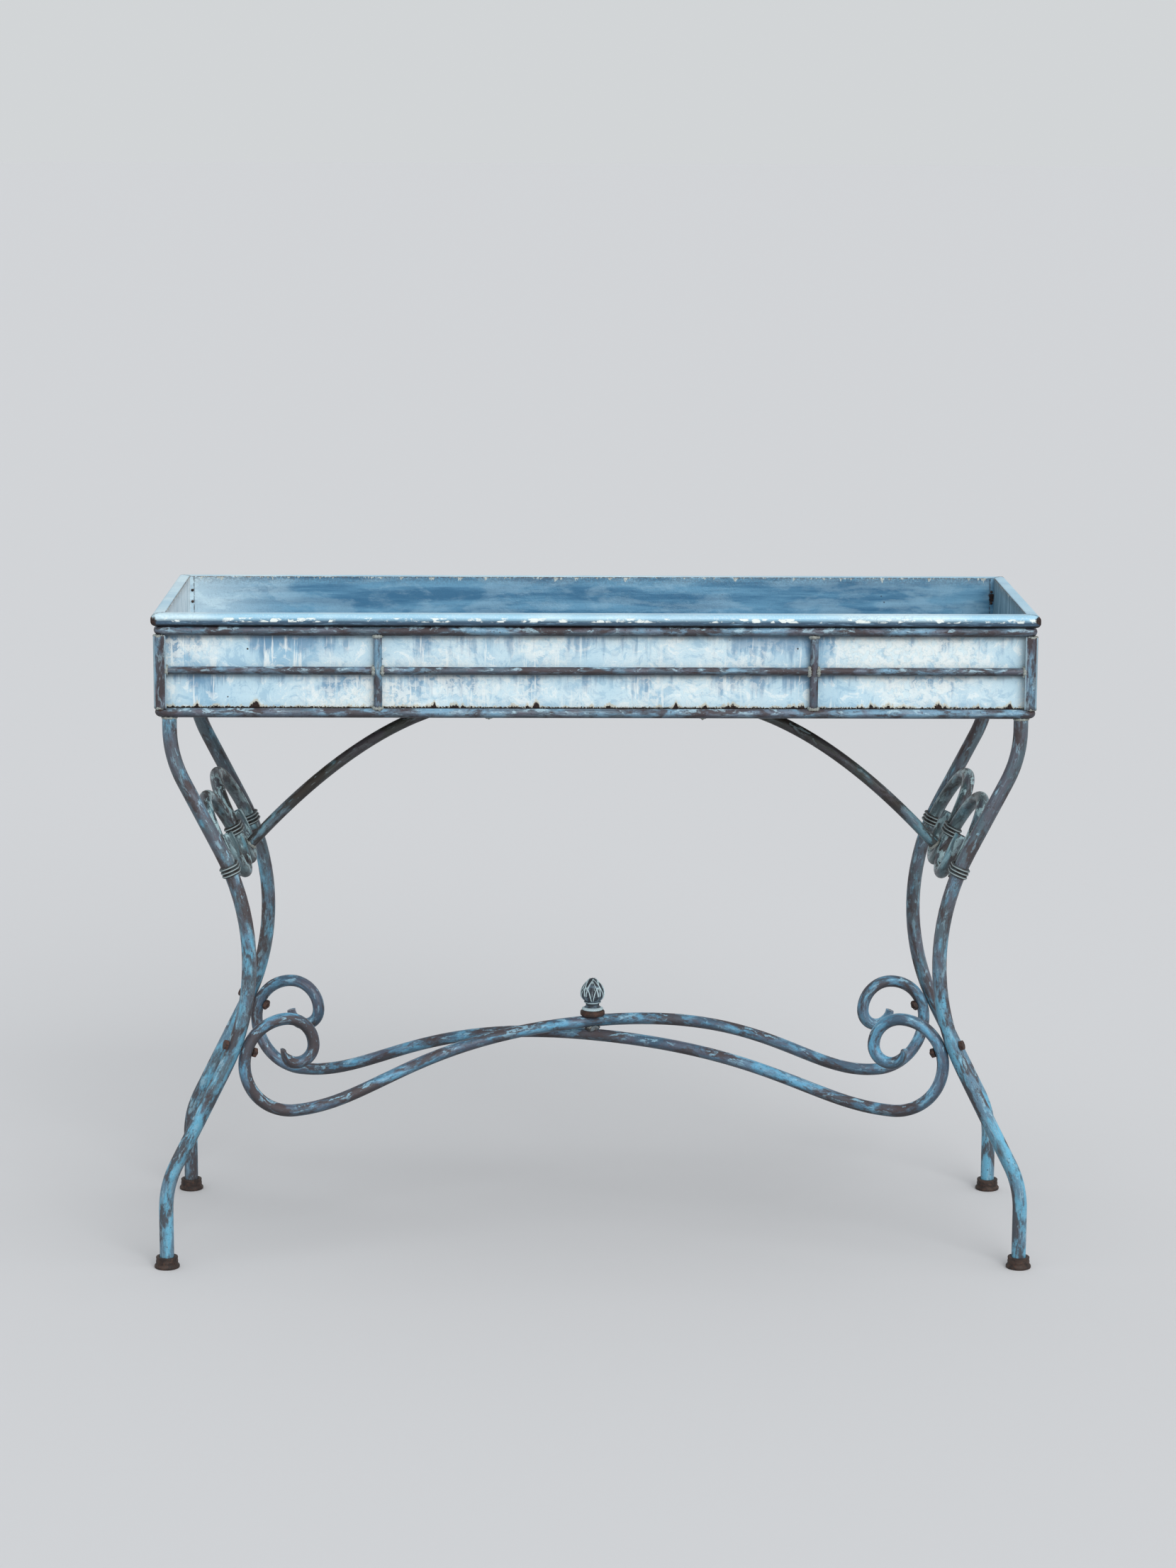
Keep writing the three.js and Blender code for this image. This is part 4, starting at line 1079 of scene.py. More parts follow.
RING_RADII = (0.060, 0.040, 0.024, 0.020)
BELLY_RADIUS = 0.072
bolt_front = leg_at_height(0.316)
bolt_rear = leg_at_height(0.296)
bolt_span = bolt_front[0].x + bolt_rear[0].x
diagonal = Vector((bolt_span, 2 * LEG_Y)).normalized()
CROSSING_Y = LEG_Y * (bolt_front[0].x - bolt_rear[0].x) / bolt_span
print("bolts at", [round(v, 4) for v in (*bolt_front[0], *bolt_rear[0])], "crossing y", round(CROSSING_Y, 4))


# %% Half a stretcher
def stretcher_half(bolt, peak):
    at, slope = bolt
    tilt = math.atan2(slope.x * diagonal.x, -slope.y)
    across = Vector((math.cos(tilt), math.sin(tilt)))
    seat = Vector((at.x / diagonal.x, at.y))
    centre = seat - across * (RING_RADII[0] + STRETCHER_RADIUS + GAP + LEG_RADIUS)
    belly = Vector((centre.x + RING_RADII[0] - BELLY_RADIUS, centre.y - BELLY_RADIUS))
    points = bezier(
        Vector((0, peak)), Vector((belly.x * 0.604, peak)), Vector((belly.x * 0.74, belly.y)), belly
    )[:-1]
    turn, hub, radius = -math.pi / 2, Vector((belly.x, centre.y)), BELLY_RADIUS
    for following in (*RING_RADII, 0):
        quarter = arc(hub, radius, turn, turn + math.pi / 2, math.radians(4))
        points += quarter[:-1] if following else quarter
        turn += math.pi / 2
        hub = hub + Vector((math.cos(turn), math.sin(turn))) * (radius - following)
        radius = following
    return points, seat, across


def flatten_tip(mesh, line, normal, squeeze, reach=0.026):
    """Squeezes the last stretch of a bar towards its own line, along the normal's plane."""
    values = places(mesh)
    ends = np.array([tuple(p) for p in line[-24:]])
    lengths = np.r_[0, np.cumsum(np.linalg.norm(np.diff(ends[::-1], axis=0), axis=1))][::-1]
    away = np.linalg.norm(values[:, None, :] - ends[None], axis=2)
    nearest = away.argmin(axis=1)
    near = away.min(axis=1) < 1.4 * STRETCHER_RADIUS
    share = np.clip(1 - lengths[nearest] / reach, 0, 1) * near
    offset = values - ends[nearest]
    sideways = (offset @ np.array(normal))[:, None] * np.array(normal)[None]
    in_plane = offset - sideways
    ease = (share * share * (3 - 2 * share))[:, None]
    tangent = ends[-1] - ends[-2]
    tangent /= np.linalg.norm(tangent)
    along = (in_plane @ tangent)[:, None] * tangent[None]
    values += ease * ((squeeze - 1) * (in_plane - along) + 0.18 * sideways)
    write_places(mesh, values)


# %% Both stretchers
PEAK = 0.306
bolt_seats = {}


def stretcher(name, front_side, peak, squeezes):
    runs = []
    for side, face, bolt in ((front_side, -1, bolt_front), (-front_side, 1, bolt_rear)):
        flat, seat, across = stretcher_half(bolt, peak)
        out = Vector((side * diagonal.x, face * diagonal.y, 0))
        rise_up = Vector((0, 0, 1))
        runs.append([Vector((0, CROSSING_Y, 0)) + out * p.x + rise_up * p.y for p in flat])
        seat_at = Vector((0, CROSSING_Y, 0)) + out * seat.x + rise_up * seat.y
        bolt_seats[side, face] = (seat_at, out * across.x + rise_up * across.y)
    points = runs[0][::-1] + runs[1][1:]
    mesh = bar(name, points, STRETCHER_RADIUS, stretcher_finish, spacing=0.004)
    normal = out.cross(Vector((0, 0, 1))).normalized()
    for run, squeeze in zip(runs, squeezes):
        flatten_tip(mesh, run, normal, squeeze)
    piece(name, mesh, [name])
    return points


stretcher("stretcher_upper", SIDES["left"], PEAK, (0.34, 0.5))
stretcher("stretcher_lower", SIDES["right"], PEAK - 0.020, (0.5, 0.55))
weld((0, CROSSING_Y, PEAK - STRETCHER_RADIUS - 0.001), (0, 0, 1), 0.006, 0.0032)
print("stretcher", len(made_pieces["stretcher_upper"].data.polygons), "faces")


# %% [markdown]
# ## Turned parts
# Feet, bolt heads, nuts and the finial's body are outlines carried round an axis. A hexagon is the same
# thing with a radius that changes with the angle, and its chamfer is where that radius is cut down to
# a circle.


# %% Turning an outline
def turned(outline, count=48, at=(0, 0, 0), axis=(0, 0, 1), hexagon=False):
    spin = Vector((0, 0, 1)).rotation_difference(Vector(axis))
    rings = []
    for radius, height in outline:
        ring = []
        for i in range(count):
            angle = 2 * math.pi * i / count
            reach = radius
            if hexagon:
                flat = math.cos(math.pi / 6) / math.cos((angle % (math.pi / 3)) - math.pi / 6)
                reach = min(radius, hexagon * flat)
            local = Vector((reach * math.cos(angle), reach * math.sin(angle), height))
            ring.append(Vector(at) + spin @ local)
        rings.append(ring)
    return rings


def skin(name, rings, material, closed_ends=True):
    return mesh_from(name, *lofted(rings, closed_ends), material)


# %% Feet
foot_outline = [
    (0.001, 0.0), (0.0160, 0.0), (0.0171, 0.0004), (0.0175, 0.0012), (0.0175, 0.0032), (0.0170, 0.0041),
    (0.0160, 0.0048), (0.0154, 0.0060), (0.0152, 0.0080), (0.0155, 0.0092), (0.0152, 0.0104),
    (0.0149, 0.0125), (0.0153, 0.0146), (0.0150, 0.0156), (0.0140, 0.0160), (0.0112, 0.0160),
    (0.0104, 0.0154), (0.0102, 0.0140), (0.0102, 0.0040), (0.001, 0.0040),
]
for spot, side, face in CORNERS:
    name = "foot_" + spot
    rings = turned(foot_outline, 56, (side * FOOT_X, face * LEG_Y, 0))
    mesh = skin(name, rings, foot_finish)
    values = places(mesh)
    radius = np.hypot(values[:, 0] - side * FOOT_X, values[:, 1] - face * LEG_Y)
    mark(mesh, "raised", np.clip((radius - 0.0148) / 0.004, 0, 0.6))
    piece(name, mesh, [name])
print("foot", len(rings) * len(rings[0]), "points")

# %% Bolts and nuts
SHANK = 0.003
HEAD = 0.0075
HEAD_HEIGHT = 0.005
NUT_HEIGHT = 0.0055
head_seat = LEG_RADIUS + GAP
nut_seat = -(LEG_RADIUS + 2 * GAP + 2 * STRETCHER_RADIUS)
for spot, side, face in CORNERS:
    seat, across = bolt_seats[side, face]
    tip = nut_seat - NUT_HEIGHT - 0.002
    bolt_outline = [(0.0005, tip), (0.0024, tip), (SHANK, tip + 0.0008)]
    thread_top = nut_seat - NUT_HEIGHT + 0.001
    bolt_outline += [(SHANK, thread_top), (SHANK, head_seat)]
    bolt_outline += [(HEAD, head_seat), (HEAD, head_seat + HEAD_HEIGHT - 0.0012)]
    bolt_outline += [(HEAD * 0.86, head_seat + HEAD_HEIGHT - 0.0003), (HEAD * 0.6, head_seat + HEAD_HEIGHT)]
    bolt_outline += [(0.0005, head_seat + HEAD_HEIGHT)]
    mesh = skin("bolt_" + spot, turned(bolt_outline, 48, seat, across, HEAD), rusty_finish)
    piece("bolt_" + spot, mesh, ["bolt_" + spot])
    base = nut_seat - NUT_HEIGHT
    nut_outline = [(SHANK + 0.0002, base), (HEAD * 0.84, base), (HEAD, base + 0.0009)]
    nut_outline += [(HEAD, nut_seat - 0.0009), (HEAD * 0.84, nut_seat), (SHANK + 0.0002, nut_seat)]
    nut_outline += [nut_outline[0]]
    mesh = skin("nut_" + spot, turned(nut_outline, 48, seat, across, HEAD), rusty_finish, False)
    piece("nut_" + spot, mesh, ["nut_" + spot])
print("four bolts and nuts")

# %% [markdown]
# ## Collars
# A collar is a strip swaged round two tubes, with three raised ribs. Its outline is two arcs and two
# tangents. The ribs are a wave in the wall's thickness from top to bottom, and the raised attribute
# follows the same wave, so the bright rubbed metal is where the ribs are.


# %% Collars
def strap(near, near_radius, far, far_radius, count=36):
    lean = math.acos((near_radius - far_radius) / (far - near))
    far_side = arc((far, 0), far_radius, -lean, lean, 2 * lean / count)
    near_side = arc((near, 0), near_radius, lean, 2 * math.pi - lean, (2 * math.pi - 2 * lean) / count)
    return far_side + near_side


COLLAR_HEIGHT = 0.015
COLLAR_WALL = 0.003
COLLAR_FIT = 0.0004
RIBS = 3
COLLAR_STEPS = 36


def collar(name, side, drop, near, near_radius, far, far_radius):
    at = down_the_leg(drop)
    slope = leg_slope(drop)
    up = Vector((-side * slope.x, 0, -slope.y))
    depth = Vector((0, 1, 0))
    normal = up.cross(depth)
    rings, raised = [], []

    def add_ring(share, wall, rib):
        outline = strap(near, near_radius + COLLAR_FIT + wall, far, far_radius + COLLAR_FIT + wall)
        middle = Vector((side * at.x, 0, at.y))
        lift = up * (share - 0.5) * COLLAR_HEIGHT
        rings.append([middle + depth * p.x + normal * p.y + lift for p in outline])
        raised.extend([rib] * len(outline))

    for i in range(COLLAR_STEPS + 1):
        share = i / COLLAR_STEPS
        rib = math.sin(RIBS * math.pi * share) ** 2
        add_ring(share, COLLAR_WALL * (0.30 + 0.70 * rib**0.45), rib)
    add_ring(1, 0, 0)
    add_ring(0, 0, 0)
    points, faces = lofted(rings + rings[:1], False)
    lookup = {tuple(round(c, 6) for c in p): r for p, r in zip(points, raised)}
    mesh = mesh_from(name, points, faces, collar_finish)
    mark(mesh, "raised", [lookup.get(tuple(round(c, 6) for c in v.co), 0) for v in mesh.vertices])
    piece(name, mesh, [name])


for side_name, side in SIDES.items():
    for face_name, face in FACES.items():
        limb = (face * OUTER_LIMB_Y, SCROLL_RADIUS)
        leg = (face * LEG_Y, LEG_RADIUS)
        pair = (*leg, *limb) if face < 0 else (*limb, *leg)
        collar("collar_" + face_name + "_" + side_name, side, SCROLL_DROP + 0.005, *pair)
    parted = INNER_LIMB_Y + 0.0014
    pair = (-parted, SCROLL_RADIUS, parted, SCROLL_RADIUS)
    collar("collar_centre_" + side_name, side, SCROLL_DROP - 0.017, *pair)
print("six collars")

# %% [markdown]
# ## Finial
# The bud is a turned core under rows of pointed leaves. Geometry Nodes lay the leaves: one leaf is
# drawn flat, with angle across and height up, a copy stands on each point of a staggered grid, and the
# realized copies are wrapped round the bud by the same formula that shapes its core.

# %% The bud's core and neck
washer_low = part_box("finial_base")[0].z
finial_low, finial_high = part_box("finial")
BUD_FROM = finial_low.z + 0.0105
BUD_HEIGHT = finial_high.z - BUD_FROM
BUD_RADIUS = 0.0158
FULLEST = 0.68
POINTED = 0.72


def bud_radius(h):
    return BUD_RADIUS * math.sin(math.pi * min(max(h, 0.0), 1.0) ** FULLEST) ** POINTED


base_outline = [
    (0.0005, washer_low), (0.0162, washer_low), (0.0172, washer_low + 0.0008), (0.0175, washer_low + 0.002),
    (0.0173, washer_low + 0.0055), (0.0165, washer_low + 0.0066), (0.0150, washer_low + 0.0078),
    (0.0005, washer_low + 0.0080),
]
mesh = skin("finial_base", turned(base_outline, 56, (0, CROSSING_Y, 0)), rusty_finish)
piece("finial_base", mesh, ["finial_base"])
low = finial_low.z
neck_outline = [
    (0.0005, low), (0.0148, low), (0.0153, low + 0.0008), (0.0150, low + 0.0020), (0.0125, low + 0.0030),
    (0.0102, low + 0.0046), (0.0094, low + 0.0066), (0.0098, low + 0.0086), (0.0118, low + 0.0102),
    (0.0124, low + 0.0114), (0.0112, low + 0.0124),
]
steps = 26
bud_outline = [(bud_radius(h), BUD_FROM + BUD_HEIGHT * h) for h in np.linspace(0.16, 0.995, steps)]
core = skin("finial", turned(neck_outline + bud_outline, 48, (0, CROSSING_Y, 0)), bud_finish)
values = places(core)
on_neck = (values[:, 2] < BUD_FROM + 0.003) & (np.hypot(values[:, 0], values[:, 1] - CROSSING_Y) > 0.0118)
mark(core, "raised", np.where(on_neck, 0.75, 0.1))
print("bud", round(BUD_HEIGHT * 1000, 1), "mm tall")


# %% One flat leaf
def flat_leaf():
    """Angle across, share of the bud's height up, and how far it stands off the core."""
    across_count, up_count = 12, 16
    points, raised = [], []
    for j in range(up_count + 1):
        v = j / up_count
        width = 0.43 * (1 - v) ** 0.62 * (1 + 0.55 * v)
        for i in range(across_count + 1):
            u = 2 * i / across_count - 1
            edge = max(0.0, abs(u) - 0.62) / 0.38
            rib = max(0.0, 1 - abs(u) * 5) * (1 - v) ** 0.5
            lift = 0.0005 + 0.0014 * edge * (1 - 0.3 * v) + 0.0008 * rib + 0.0009 * v * v
            points.append((u * width, 0.42 * v, lift))
            raised.append(max(edge, 0.7 * rib, v**4))
    top = len(points)
    row = across_count + 1
    points += [(x, y, -0.0012) for x, y, _ in points]
    raised += [0.0] * top
    faces = []
    for j in range(up_count):
        for i in range(across_count):
            a = j * row + i
            faces.append((a, a + 1, a + row + 1, a + row))
            faces.append((top + a, top + a + row, top + a + row + 1, top + a + 1))
    rim_loop = [i for i in range(row)] + [j * row + across_count for j in range(1, up_count + 1)]
    rim_loop += [up_count * row + i for i in range(across_count - 1, -1, -1)]
    rim_loop += [j * row for j in range(up_count - 1, 0, -1)]
    for a, b in zip(rim_loop, rim_loop[1:] + rim_loop[:1]):
        faces.append((a, top + a, top + b, b))
    mesh = bpy.data.meshes.new("leaf")
    mesh.from_pydata(points, [], faces)
    mark(mesh, "raised", raised)
    return bpy.data.objects.new("leaf", mesh)


# %% The leaf tree
LEAVES, given, leave = geometry_tree(
    "leaves_on_a_bud",
    [("Leaf", "Object", None), ("Radius", "Float", 0.016), ("Height", "Float", 0.034),
     ("Fullest", "Float", 0.75), ("Pointed", "Float", 0.8), ("Centre Y", "Float", 0.0),
     ("Foot Z", "Float", 0.0), ("Material", "Material", None)],
)
leaf = step(LEAVES, "ObjectInfo", {"Object": given["Leaf"]})["Geometry"]
spread = recall(LEAVES, "spread")
laid = step(LEAVES, "InstanceOnPoints", {"Points": given["Geometry"], "Instance": leaf, "Scale": spread})[0]
real = step(LEAVES, "RealizeInstances", {"Geometry": laid})[0]
angle, share, lift = separated(LEAVES, step(LEAVES, "InputPosition")[0])
kept = calc(LEAVES, "MINIMUM", calc(LEAVES, "MAXIMUM", share, 0.02), 0.985)
swell = calc(LEAVES, "SINE", times(LEAVES, calc(LEAVES, "POWER", kept, given["Fullest"]), math.pi))
core_radius = times(LEAVES, calc(LEAVES, "POWER", swell, given["Pointed"]), given["Radius"])
radius = plus(LEAVES, core_radius, lift)
round_x = times(LEAVES, radius, calc(LEAVES, "COSINE", angle))
round_y = plus(LEAVES, times(LEAVES, radius, calc(LEAVES, "SINE", angle)), given["Centre Y"])
wrapped = combined(LEAVES, round_x, round_y, scaled(LEAVES, kept, given["Height"], given["Foot Z"]))
wrapped_leaves = step(LEAVES, "SetPosition", {"Geometry": real, "Position": wrapped})[0]
soft = step(LEAVES, "SetShadeSmooth", {"Geometry": wrapped_leaves})[0]
close_tree(LEAVES, soft, given["Material"], leave)

# %% Leaves round the bud
ROWS = ((0.05, 5, 0.0, 1.5), (0.30, 5, 0.5, 1.45), (0.56, 3, 0.2, 1.0))
leaf_points, spreads = [], []
for row_height, count, stagger, size in ROWS:
    for i in range(count):
        leaf_points.append((2 * math.pi * (i + stagger) / count + 0.26, row_height, 0))
        spreads.append((6 / count * (1.12 if count > 3 else 0.9), size, 1.0))
seed = point_seed("leaf_places", leaf_points)
mark_vectors(seed, "spread", spreads)
leaf_object = flat_leaf()
leaves = grow("finial_leaves", seed, LEAVES, {
    "Leaf": leaf_object, "Radius": BUD_RADIUS, "Height": BUD_HEIGHT, "Fullest": FULLEST, "Pointed": POINTED,
    "Centre Y": CROSSING_Y, "Foot Z": BUD_FROM, "Material": bud_finish,
})
bpy.data.objects.remove(leaf_object)
builder = bmesh.new()
builder.from_mesh(core)
builder.from_mesh(leaves)
builder.to_mesh(core)
builder.free()
piece("finial", core, ["finial"])
print(len(leaf_points), "leaves,", len(core.polygons), "faces")

# %% [markdown]
# ## Tray
# The trough is one sheet: a lip, a roll, the front wall, the floor, the rear wall, a roll and a lip. It
# is drawn as a line through the middle of the sheet with a radius at every fold. Half the sheet's
# thickness to either side gives its two skins. The ends stop on mitre planes, so each point of the
# line runs exactly as far as its own place in the section allows.


# %% The sheet's section
def offset_line(points, distance):
    shifted = []
    for i, point in enumerate(points):
        before = points[max(i - 1, 0)]
        after = points[min(i + 1, len(points) - 1)]
        along = (after - before).normalized()
        shifted.append(point + Vector((-along.y, along.x)) * distance)
    return shifted


half = SHEET / 2
rim_corners = [
    ((0 + half, RIM_TOP - half), 0.0018),
    ((HALF_DEPTH - TRAY_Y - half, RIM_TOP - half), RIM_NOSE - half),
    ((HALF_DEPTH - TRAY_Y - half, RIM_TOP - RIM_HEIGHT + half), RIM_NOSE - half),
    ((LIP_START, RIM_TOP - RIM_HEIGHT + half), 0),
]
FLOOR_MID = TRAY_UNDERSIDE + half
wall_side = [((0.0 - TRAY_Y, FLOOR_MID), 0), ((half, FLOOR_MID), 0.0025)] + rim_corners
half_section = spaced(bent(wall_side, math.radians(11)), 0.012)
half_section = [Vector((TRAY_Y + p.x, p.y)) for p in half_section]
end_section = spaced(bent([((half, TRAY_UNDERSIDE + 0.0002), 0)] + rim_corners, math.radians(11)), 0.012)
end_section = [Vector((TRAY_X + p.x, p.y)) for p in end_section]
print(len(half_section), "points in half the trough's section,", len(end_section), "in an end's")


# %% A folded sheet between mitres
def dent(x, y, z):
    """How far the sheet is out of true here, as hand-folded sheet is."""
    broad = noise.noise(Vector((x * 4.1, y * 3.0 + 5.0, z * 7.0)))
    small = noise.noise(Vector((x * 17.0 + 9.0, y * 11.0, z * 23.0)))
    return 0.0006 * broad + 0.00022 * small


def sheet_mesh(name, line, wall, reach, stations, place_of):
    """line is (out, up); wall is where its inner face stands; reach gives a skin point's half run."""
    skins = [offset_line(line, SHEET / 2), offset_line(line, -SHEET / 2)]
    section = skins[0] + skins[1][::-1]
    count = len(line)
    rings = []
    for s in np.linspace(-1, 1, stations):
        ring = []
        for p in section:
            run = s * reach(p.x)
            x, y, z = place_of(p.x, run, p.y)
            push = dent(x, y, z) * min(1.0, 8 * (1 - abs(s))) * (0.35 if p.x > wall + 0.002 else 1.0)
            ring.append(Vector(place_of(p.x + push, run, p.y)))
        rings.append(ring)
    points, faces = lofted(rings, False)
    total = len(section)
    for start in (0, total * (stations - 1)):
        last = start + total - 1
        faces += [(start + i, start + i + 1, last - 1 - i, last - i) for i in range(count - 1)]
    return mesh_from(name, points, faces, tray_finish, math.radians(50))


def tray_marks(mesh, out_of, wall, inner_sign_test):
    values = places(mesh)
    from_mitre = np.abs((np.abs(values[:, 0]) - TRAY_X) - (np.abs(values[:, 1]) - TRAY_Y))
    out = out_of(values)
    normals = normals_of(mesh)
    past = out - wall
    in_rim_height = values[:, 2] > RIM_TOP - RIM_HEIGHT - 0.001
    on_rim = in_rim_height & (past > SHEET * 1.2) | (values[:, 2] > RIM_TOP - 0.0008)
    mark(mesh, "rim", on_rim)
    mark(mesh, "inner", (past < 0.0004) & ~on_rim & inner_sign_test(normals, values))
    height = (RIM_TOP - values[:, 2]) / RIM_HEIGHT
    mark(mesh, "roll", np.clip(height, 0, 1) * on_rim * (past > 0.008))
    fold = np.exp(-((past / 0.0012) ** 2)) * np.exp(-(((RIM_TOP - 0.0012 - values[:, 2]) / 0.0016) ** 2))
    mitre = np.where((past > SHEET) & in_rim_height, np.exp(-((from_mitre / 0.002) ** 2)), 0)
    mark(mesh, "seam", np.maximum(fold, mitre))


# %% Trough
def trough():
    front = [Vector((-p.x, p.y)) for p in half_section[::-1]]
    line = front[:-1] + half_section
    mesh = sheet_mesh(
        "tray_trough", line, TRAY_Y, lambda y: TRAY_X - GAP + max(0.0, abs(y) - TRAY_Y), 260,
        lambda y, run, z: (run, y, z),
    )
    tray_marks(
        mesh, lambda v: np.abs(v[:, 1]), TRAY_Y,
        lambda n, v: (n[:, 2] > 0.5) | (n[:, 1] * np.sign(v[:, 1]) < -0.3),
    )
    return piece("tray_trough", mesh, ["tray_trough"], "tray")


trough_piece = trough()
print("trough", len(trough_piece.data.polygons), "faces")

# %% [markdown]
# The end sheets overlap the trough inside its corners with narrow tabs, held by rivets. The rivets are
# instances of one dome on a point each, grown by a small tree and joined to the tray's body.


# %% Tray ends
TAB_WIDTH = 0.006
TAB_SHEET = 0.0012
tray_corners = []


def tray_end(side_name, side):
    mesh = sheet_mesh(
        "tray_end_" + side_name, end_section, TRAY_X, lambda x: TRAY_Y + max(0.0, x - TRAY_X), 90,
        lambda x, run, z: (side * x, run, z),
    )
    tray_marks(
        mesh, lambda v: np.abs(v[:, 0]), TRAY_X, lambda n, v: n[:, 0] * side < -0.3,
    )
    mark(mesh, "end_wall", [1.0] * len(mesh.vertices))
    builder = bmesh.new()
    builder.from_mesh(mesh)
    inner_layer = builder.verts.layers.float.get("inner")
    seam_layer = builder.verts.layers.float.get("seam")
    for face in (-1, 1):
        low_x, high_x = TRAY_X - TAB_WIDTH, TRAY_X + SHEET / 3
        near_y, far_y = TRAY_Y - GAP - TAB_SHEET, TRAY_Y - GAP
        outline = bent([
            ((high_x, near_y), 0), ((low_x + 0.002, near_y), 0), ((low_x, near_y), 0.0005),
            ((low_x, far_y), 0.0004), ((high_x, far_y), 0),
        ], math.radians(22))
        levels = np.linspace(TRAY_UNDERSIDE + SHEET + 0.003, RIM_TOP - 0.0016, 40)
        rings = []
        for z in levels:
            wander = 0.0004 * noise.noise(Vector((side * 3.0, face * 2.0, z * 60)))
            xs = [p.x + wander * (p.x < low_x + 0.002) for p in outline]
            rings.append([Vector((side * x, face * p.y, z)) for x, p in zip(xs, outline)])
        points, faces = lofted(rings)
        strip = mesh_from("tab", points, faces, tray_finish)
        before = len(builder.verts)
        builder.from_mesh(strip)
        builder.verts.ensure_lookup_table()
        for vertex in builder.verts[before:]:
            vertex[inner_layer] = 1.0
            vertex[seam_layer] = 1.0 if abs(vertex.co.x) < low_x + 0.0009 else 0.0
        tray_corners.append((side, face, near_y))
    builder.to_mesh(mesh)
    builder.free()
    return piece("tray_end_" + side_name, mesh, ["tray_end_" + side_name], "tray")


for side_name, side in SIDES.items():
    tray_end(side_name, side)
print("tray end", len(made_pieces["tray_end_left"].data.polygons), "faces")

# %% Rivets in the tabs
RIVETS, given, leave = geometry_tree(
    "rivets", [("Dome", "Object", None), ("Material", "Material", None)]
)
dome = step(RIVETS, "ObjectInfo", {"Object": given["Dome"]})["Geometry"]
facing = aimed(RIVETS, recall(RIVETS, "facing"))
laid = step(RIVETS, "InstanceOnPoints", {
    "Points": given["Geometry"], "Instance": dome, "Rotation": facing,
})[0]
close_tree(RIVETS, laid, given["Material"], leave)

RIVET_RADIUS = 0.0021
dome_outline = [(0.0002, -0.0006), (RIVET_RADIUS, -0.0006), (RIVET_RADIUS, 0.0002)]
dome_outline += [(RIVET_RADIUS * math.cos(a), 0.0002 + 0.0011 * math.sin(a)) for a in (0.35, 0.75, 1.15)]
dome_outline += [(0.0002, 0.0013)]
dome_object = bpy.data.objects.new("dome", skin("dome", turned(dome_outline, 16), rusty_finish))
rivet_places, rivet_facing = [], []
for side, face, near_y in tray_corners:
    for below in (0.021, 0.0375, 0.090, 0.1065):
        rivet_places.append((side * (TRAY_X - TAB_WIDTH / 2 - 0.0002), face * near_y, RIM_TOP - below))
        rivet_facing.append((0, -face, 0))
seed = point_seed("rivet_places", rivet_places)
mark_vectors(seed, "facing", rivet_facing)
rivets = grow("tray_rivets", seed, RIVETS, {"Dome": dome_object, "Material": rusty_finish})
bpy.data.objects.remove(dome_object)
piece("tray_rivets", rivets, [], "tray")
print(len(rivet_places), "rivets")

# %% [markdown]
# ## Welds
# Every joint of the cradle has a lumpy bead round it. A tree stands a circle on each weld's point,
# turned to the bar's direction and sized to it. Ripples and noise vary its thickness, so that no two
# beads are alike.

# %% The bead tree
BEADS, given, leave = geometry_tree(
    "weld_beads", [("Ripples", "Float", 9.0), ("Material", "Material", None)]
)
loop = step(BEADS, "CurvePrimitiveCircle", {"Radius": 1.0, "Resolution": 40})[0]
reach = recall(BEADS, "reach", "FLOAT")
laid = step(BEADS, "InstanceOnPoints", {
    "Points": given["Geometry"], "Instance": loop, "Rotation": aimed(BEADS, recall(BEADS, "axis")),
    "Scale": combined(BEADS, reach, reach, reach),
})[0]
real = step(BEADS, "RealizeInstances", {"Geometry": laid})[0]
here = step(BEADS, "InputPosition")[0]
lumps = clouds(BEADS, here, 260.0, detail=2.0)
bead = recall(BEADS, "bead", "FLOAT")
along = step(BEADS, "SplineParameter")["Factor"]
ripple = calc(BEADS, "SINE", times(BEADS, along, times(BEADS, given["Ripples"], 2 * math.pi)))
thick = plus(BEADS, times(BEADS, lumps, 1.5), scaled(BEADS, ripple, 0.12, 0.12))
cut = step(BEADS, "CurvePrimitiveCircle", {"Radius": 1.0, "Resolution": 10})[0]
thickness = times(BEADS, thick, bead)
tube = step(BEADS, "CurveToMesh", {"Curve": real, "Profile Curve": cut, "Scale": thickness})[0]
soft = step(BEADS, "SetShadeSmooth", {"Geometry": tube})[0]
close_tree(BEADS, soft, given["Material"], leave)

# %% Beads at every weld
weld_places, weld_axes, weld_reaches, weld_beads = zip(*weld_spots)
seed = point_seed("weld_places", weld_places)
mark_vectors(seed, "axis", weld_axes)
mark(seed, "reach", weld_reaches)
mark(seed, "bead", weld_beads)
beads = grow("weld_beads", seed, BEADS, {"Material": weld_finish})
mark(beads, "raised", [0.78] * len(beads.vertices))
piece("weld_beads", beads, [])
print(len(weld_spots), "beads,", len(beads.polygons), "faces")


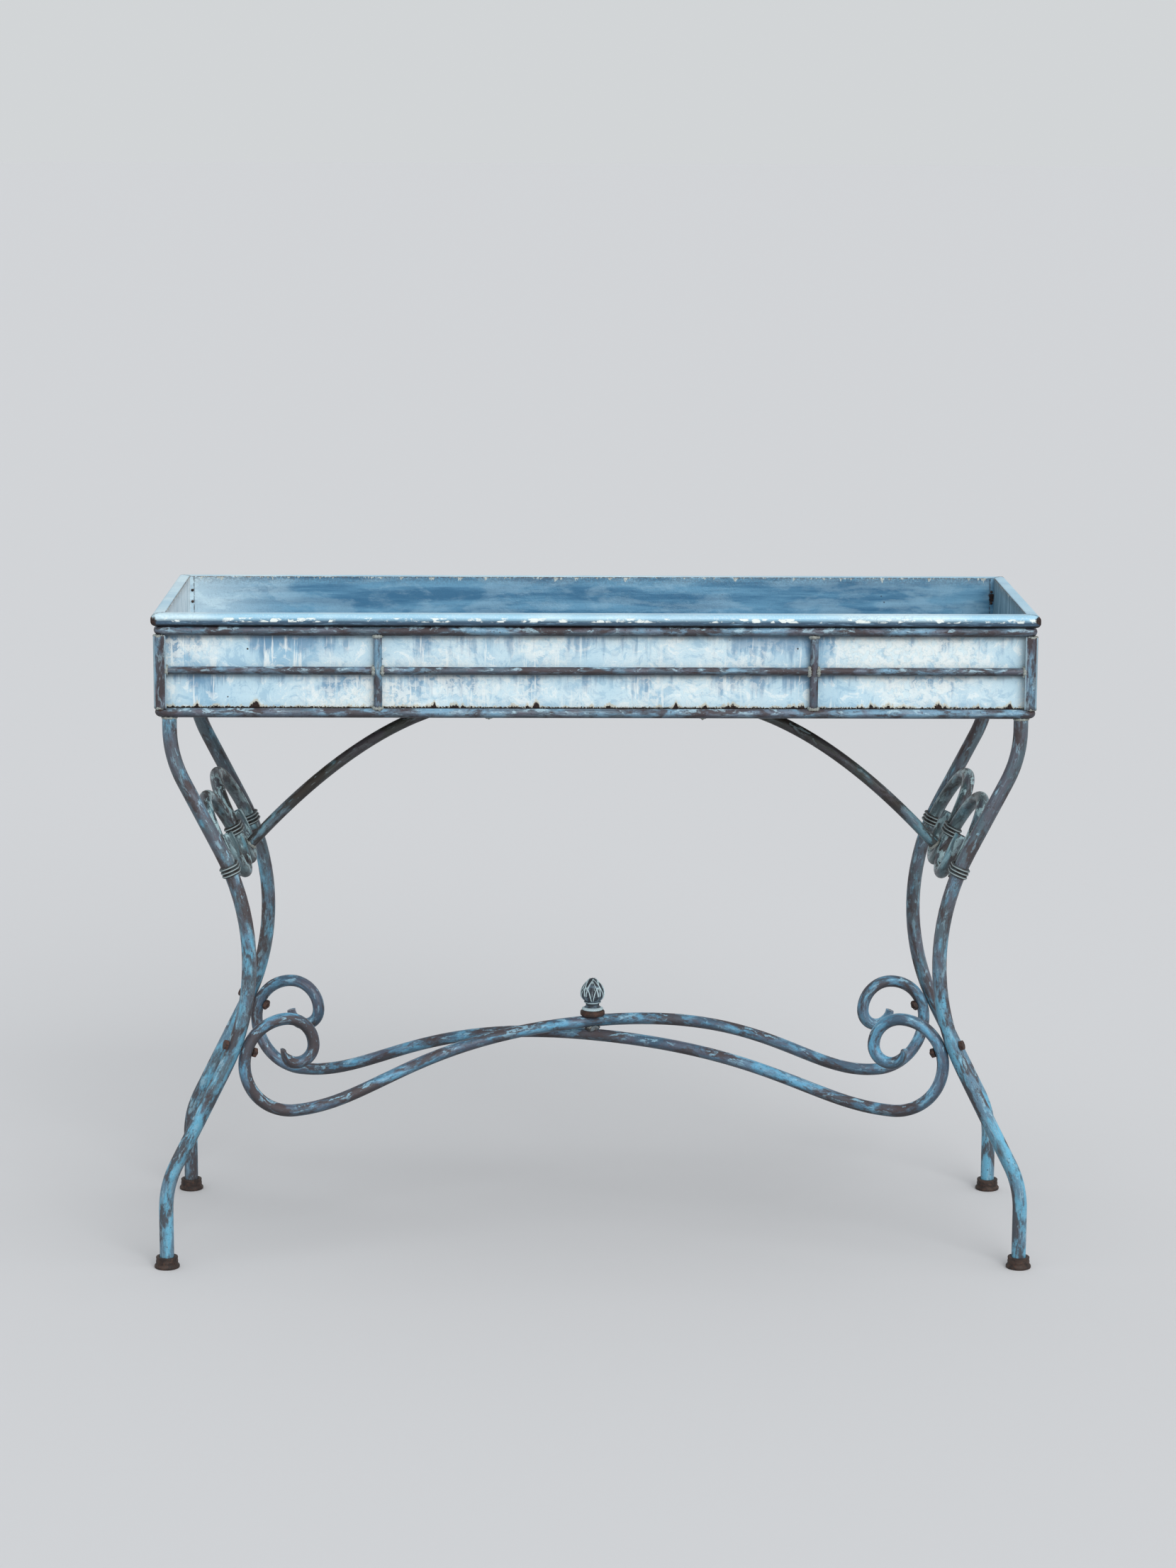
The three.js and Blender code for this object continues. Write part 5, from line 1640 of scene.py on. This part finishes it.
# %% The lump at the crossing
def lump(name, at, size, seed_place):
    builder = bmesh.new()
    bmesh.ops.create_icosphere(builder, subdivisions=4, radius=1.0)
    for vertex in builder.verts:
        bulge = 1 + 0.22 * noise.noise(vertex.co * 2.2 + Vector(seed_place))
        bulge += 0.10 * noise.noise(vertex.co * 6.0 + Vector(seed_place))
        vertex.co = Vector(at) + Vector([c * s * bulge for c, s in zip(vertex.co, size)])
    mesh = bpy.data.meshes.new(name)
    builder.to_mesh(mesh)
    builder.free()
    mesh.shade_smooth()
    mesh.materials.append(weld_finish)
    mark(mesh, "raised", [0.3] * len(mesh.vertices))
    return mesh


crossing_low, crossing_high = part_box("crossing_weld")
middle = (crossing_low + crossing_high) / 2
lump_mesh = lump("crossing_weld", middle, (0.0100, 0.0090, 0.0060), (3.1, 0.4, 2.2))
piece("crossing_weld", lump_mesh, ["crossing_weld"])

# %% [markdown]
# ## Stains
# Now that every weld is known, each mesh gets its joint attribute, 1 at a weld and gone two centimetres
# away, and its sky attribute, which says how far each spot faces up.

# %% Stain the bars at their welds
STAIN_REACH = 0.009
spots = np.array(weld_places)
tray_spots = np.array([
    (-HALF_LENGTH + 0.002, -HALF_DEPTH + 0.003, RIM_TOP - 0.010),
    (HALF_LENGTH - 0.001, -HALF_DEPTH + 0.001, RIM_TOP - 0.007),
    (HALF_LENGTH - 0.004, HALF_DEPTH - 0.004, RIM_TOP - 0.004),
    (TRAY_X - 0.003, TRAY_Y - 0.002, RIM_TOP - 0.030),
    (TRAY_X - 0.003, TRAY_Y - 0.002, RIM_TOP - 0.060),
])
for name, thing in made_pieces.items():
    values = places(thing.data)
    stains = tray_spots if name.startswith("tray_") else spots
    away = np.linalg.norm(values[:, None, :] - stains[None], axis=2).min(axis=1)
    mark(thing.data, "joint", np.exp(-((away / STAIN_REACH) ** 2)))
    mark(thing.data, "sky", normals_of(thing.data)[:, 2])
print("stained", len(made_pieces), "pieces")

# %% [markdown]
# ## Count
# The finished pieces have to stay the frame's size. This last cell counts the pieces and their triangles.

# %% Pieces and triangles
total = sum(len(polygon.vertices) - 2 for thing in made_pieces.values() for polygon in thing.data.polygons)
print(len(made_pieces), "pieces,", total, "triangles")
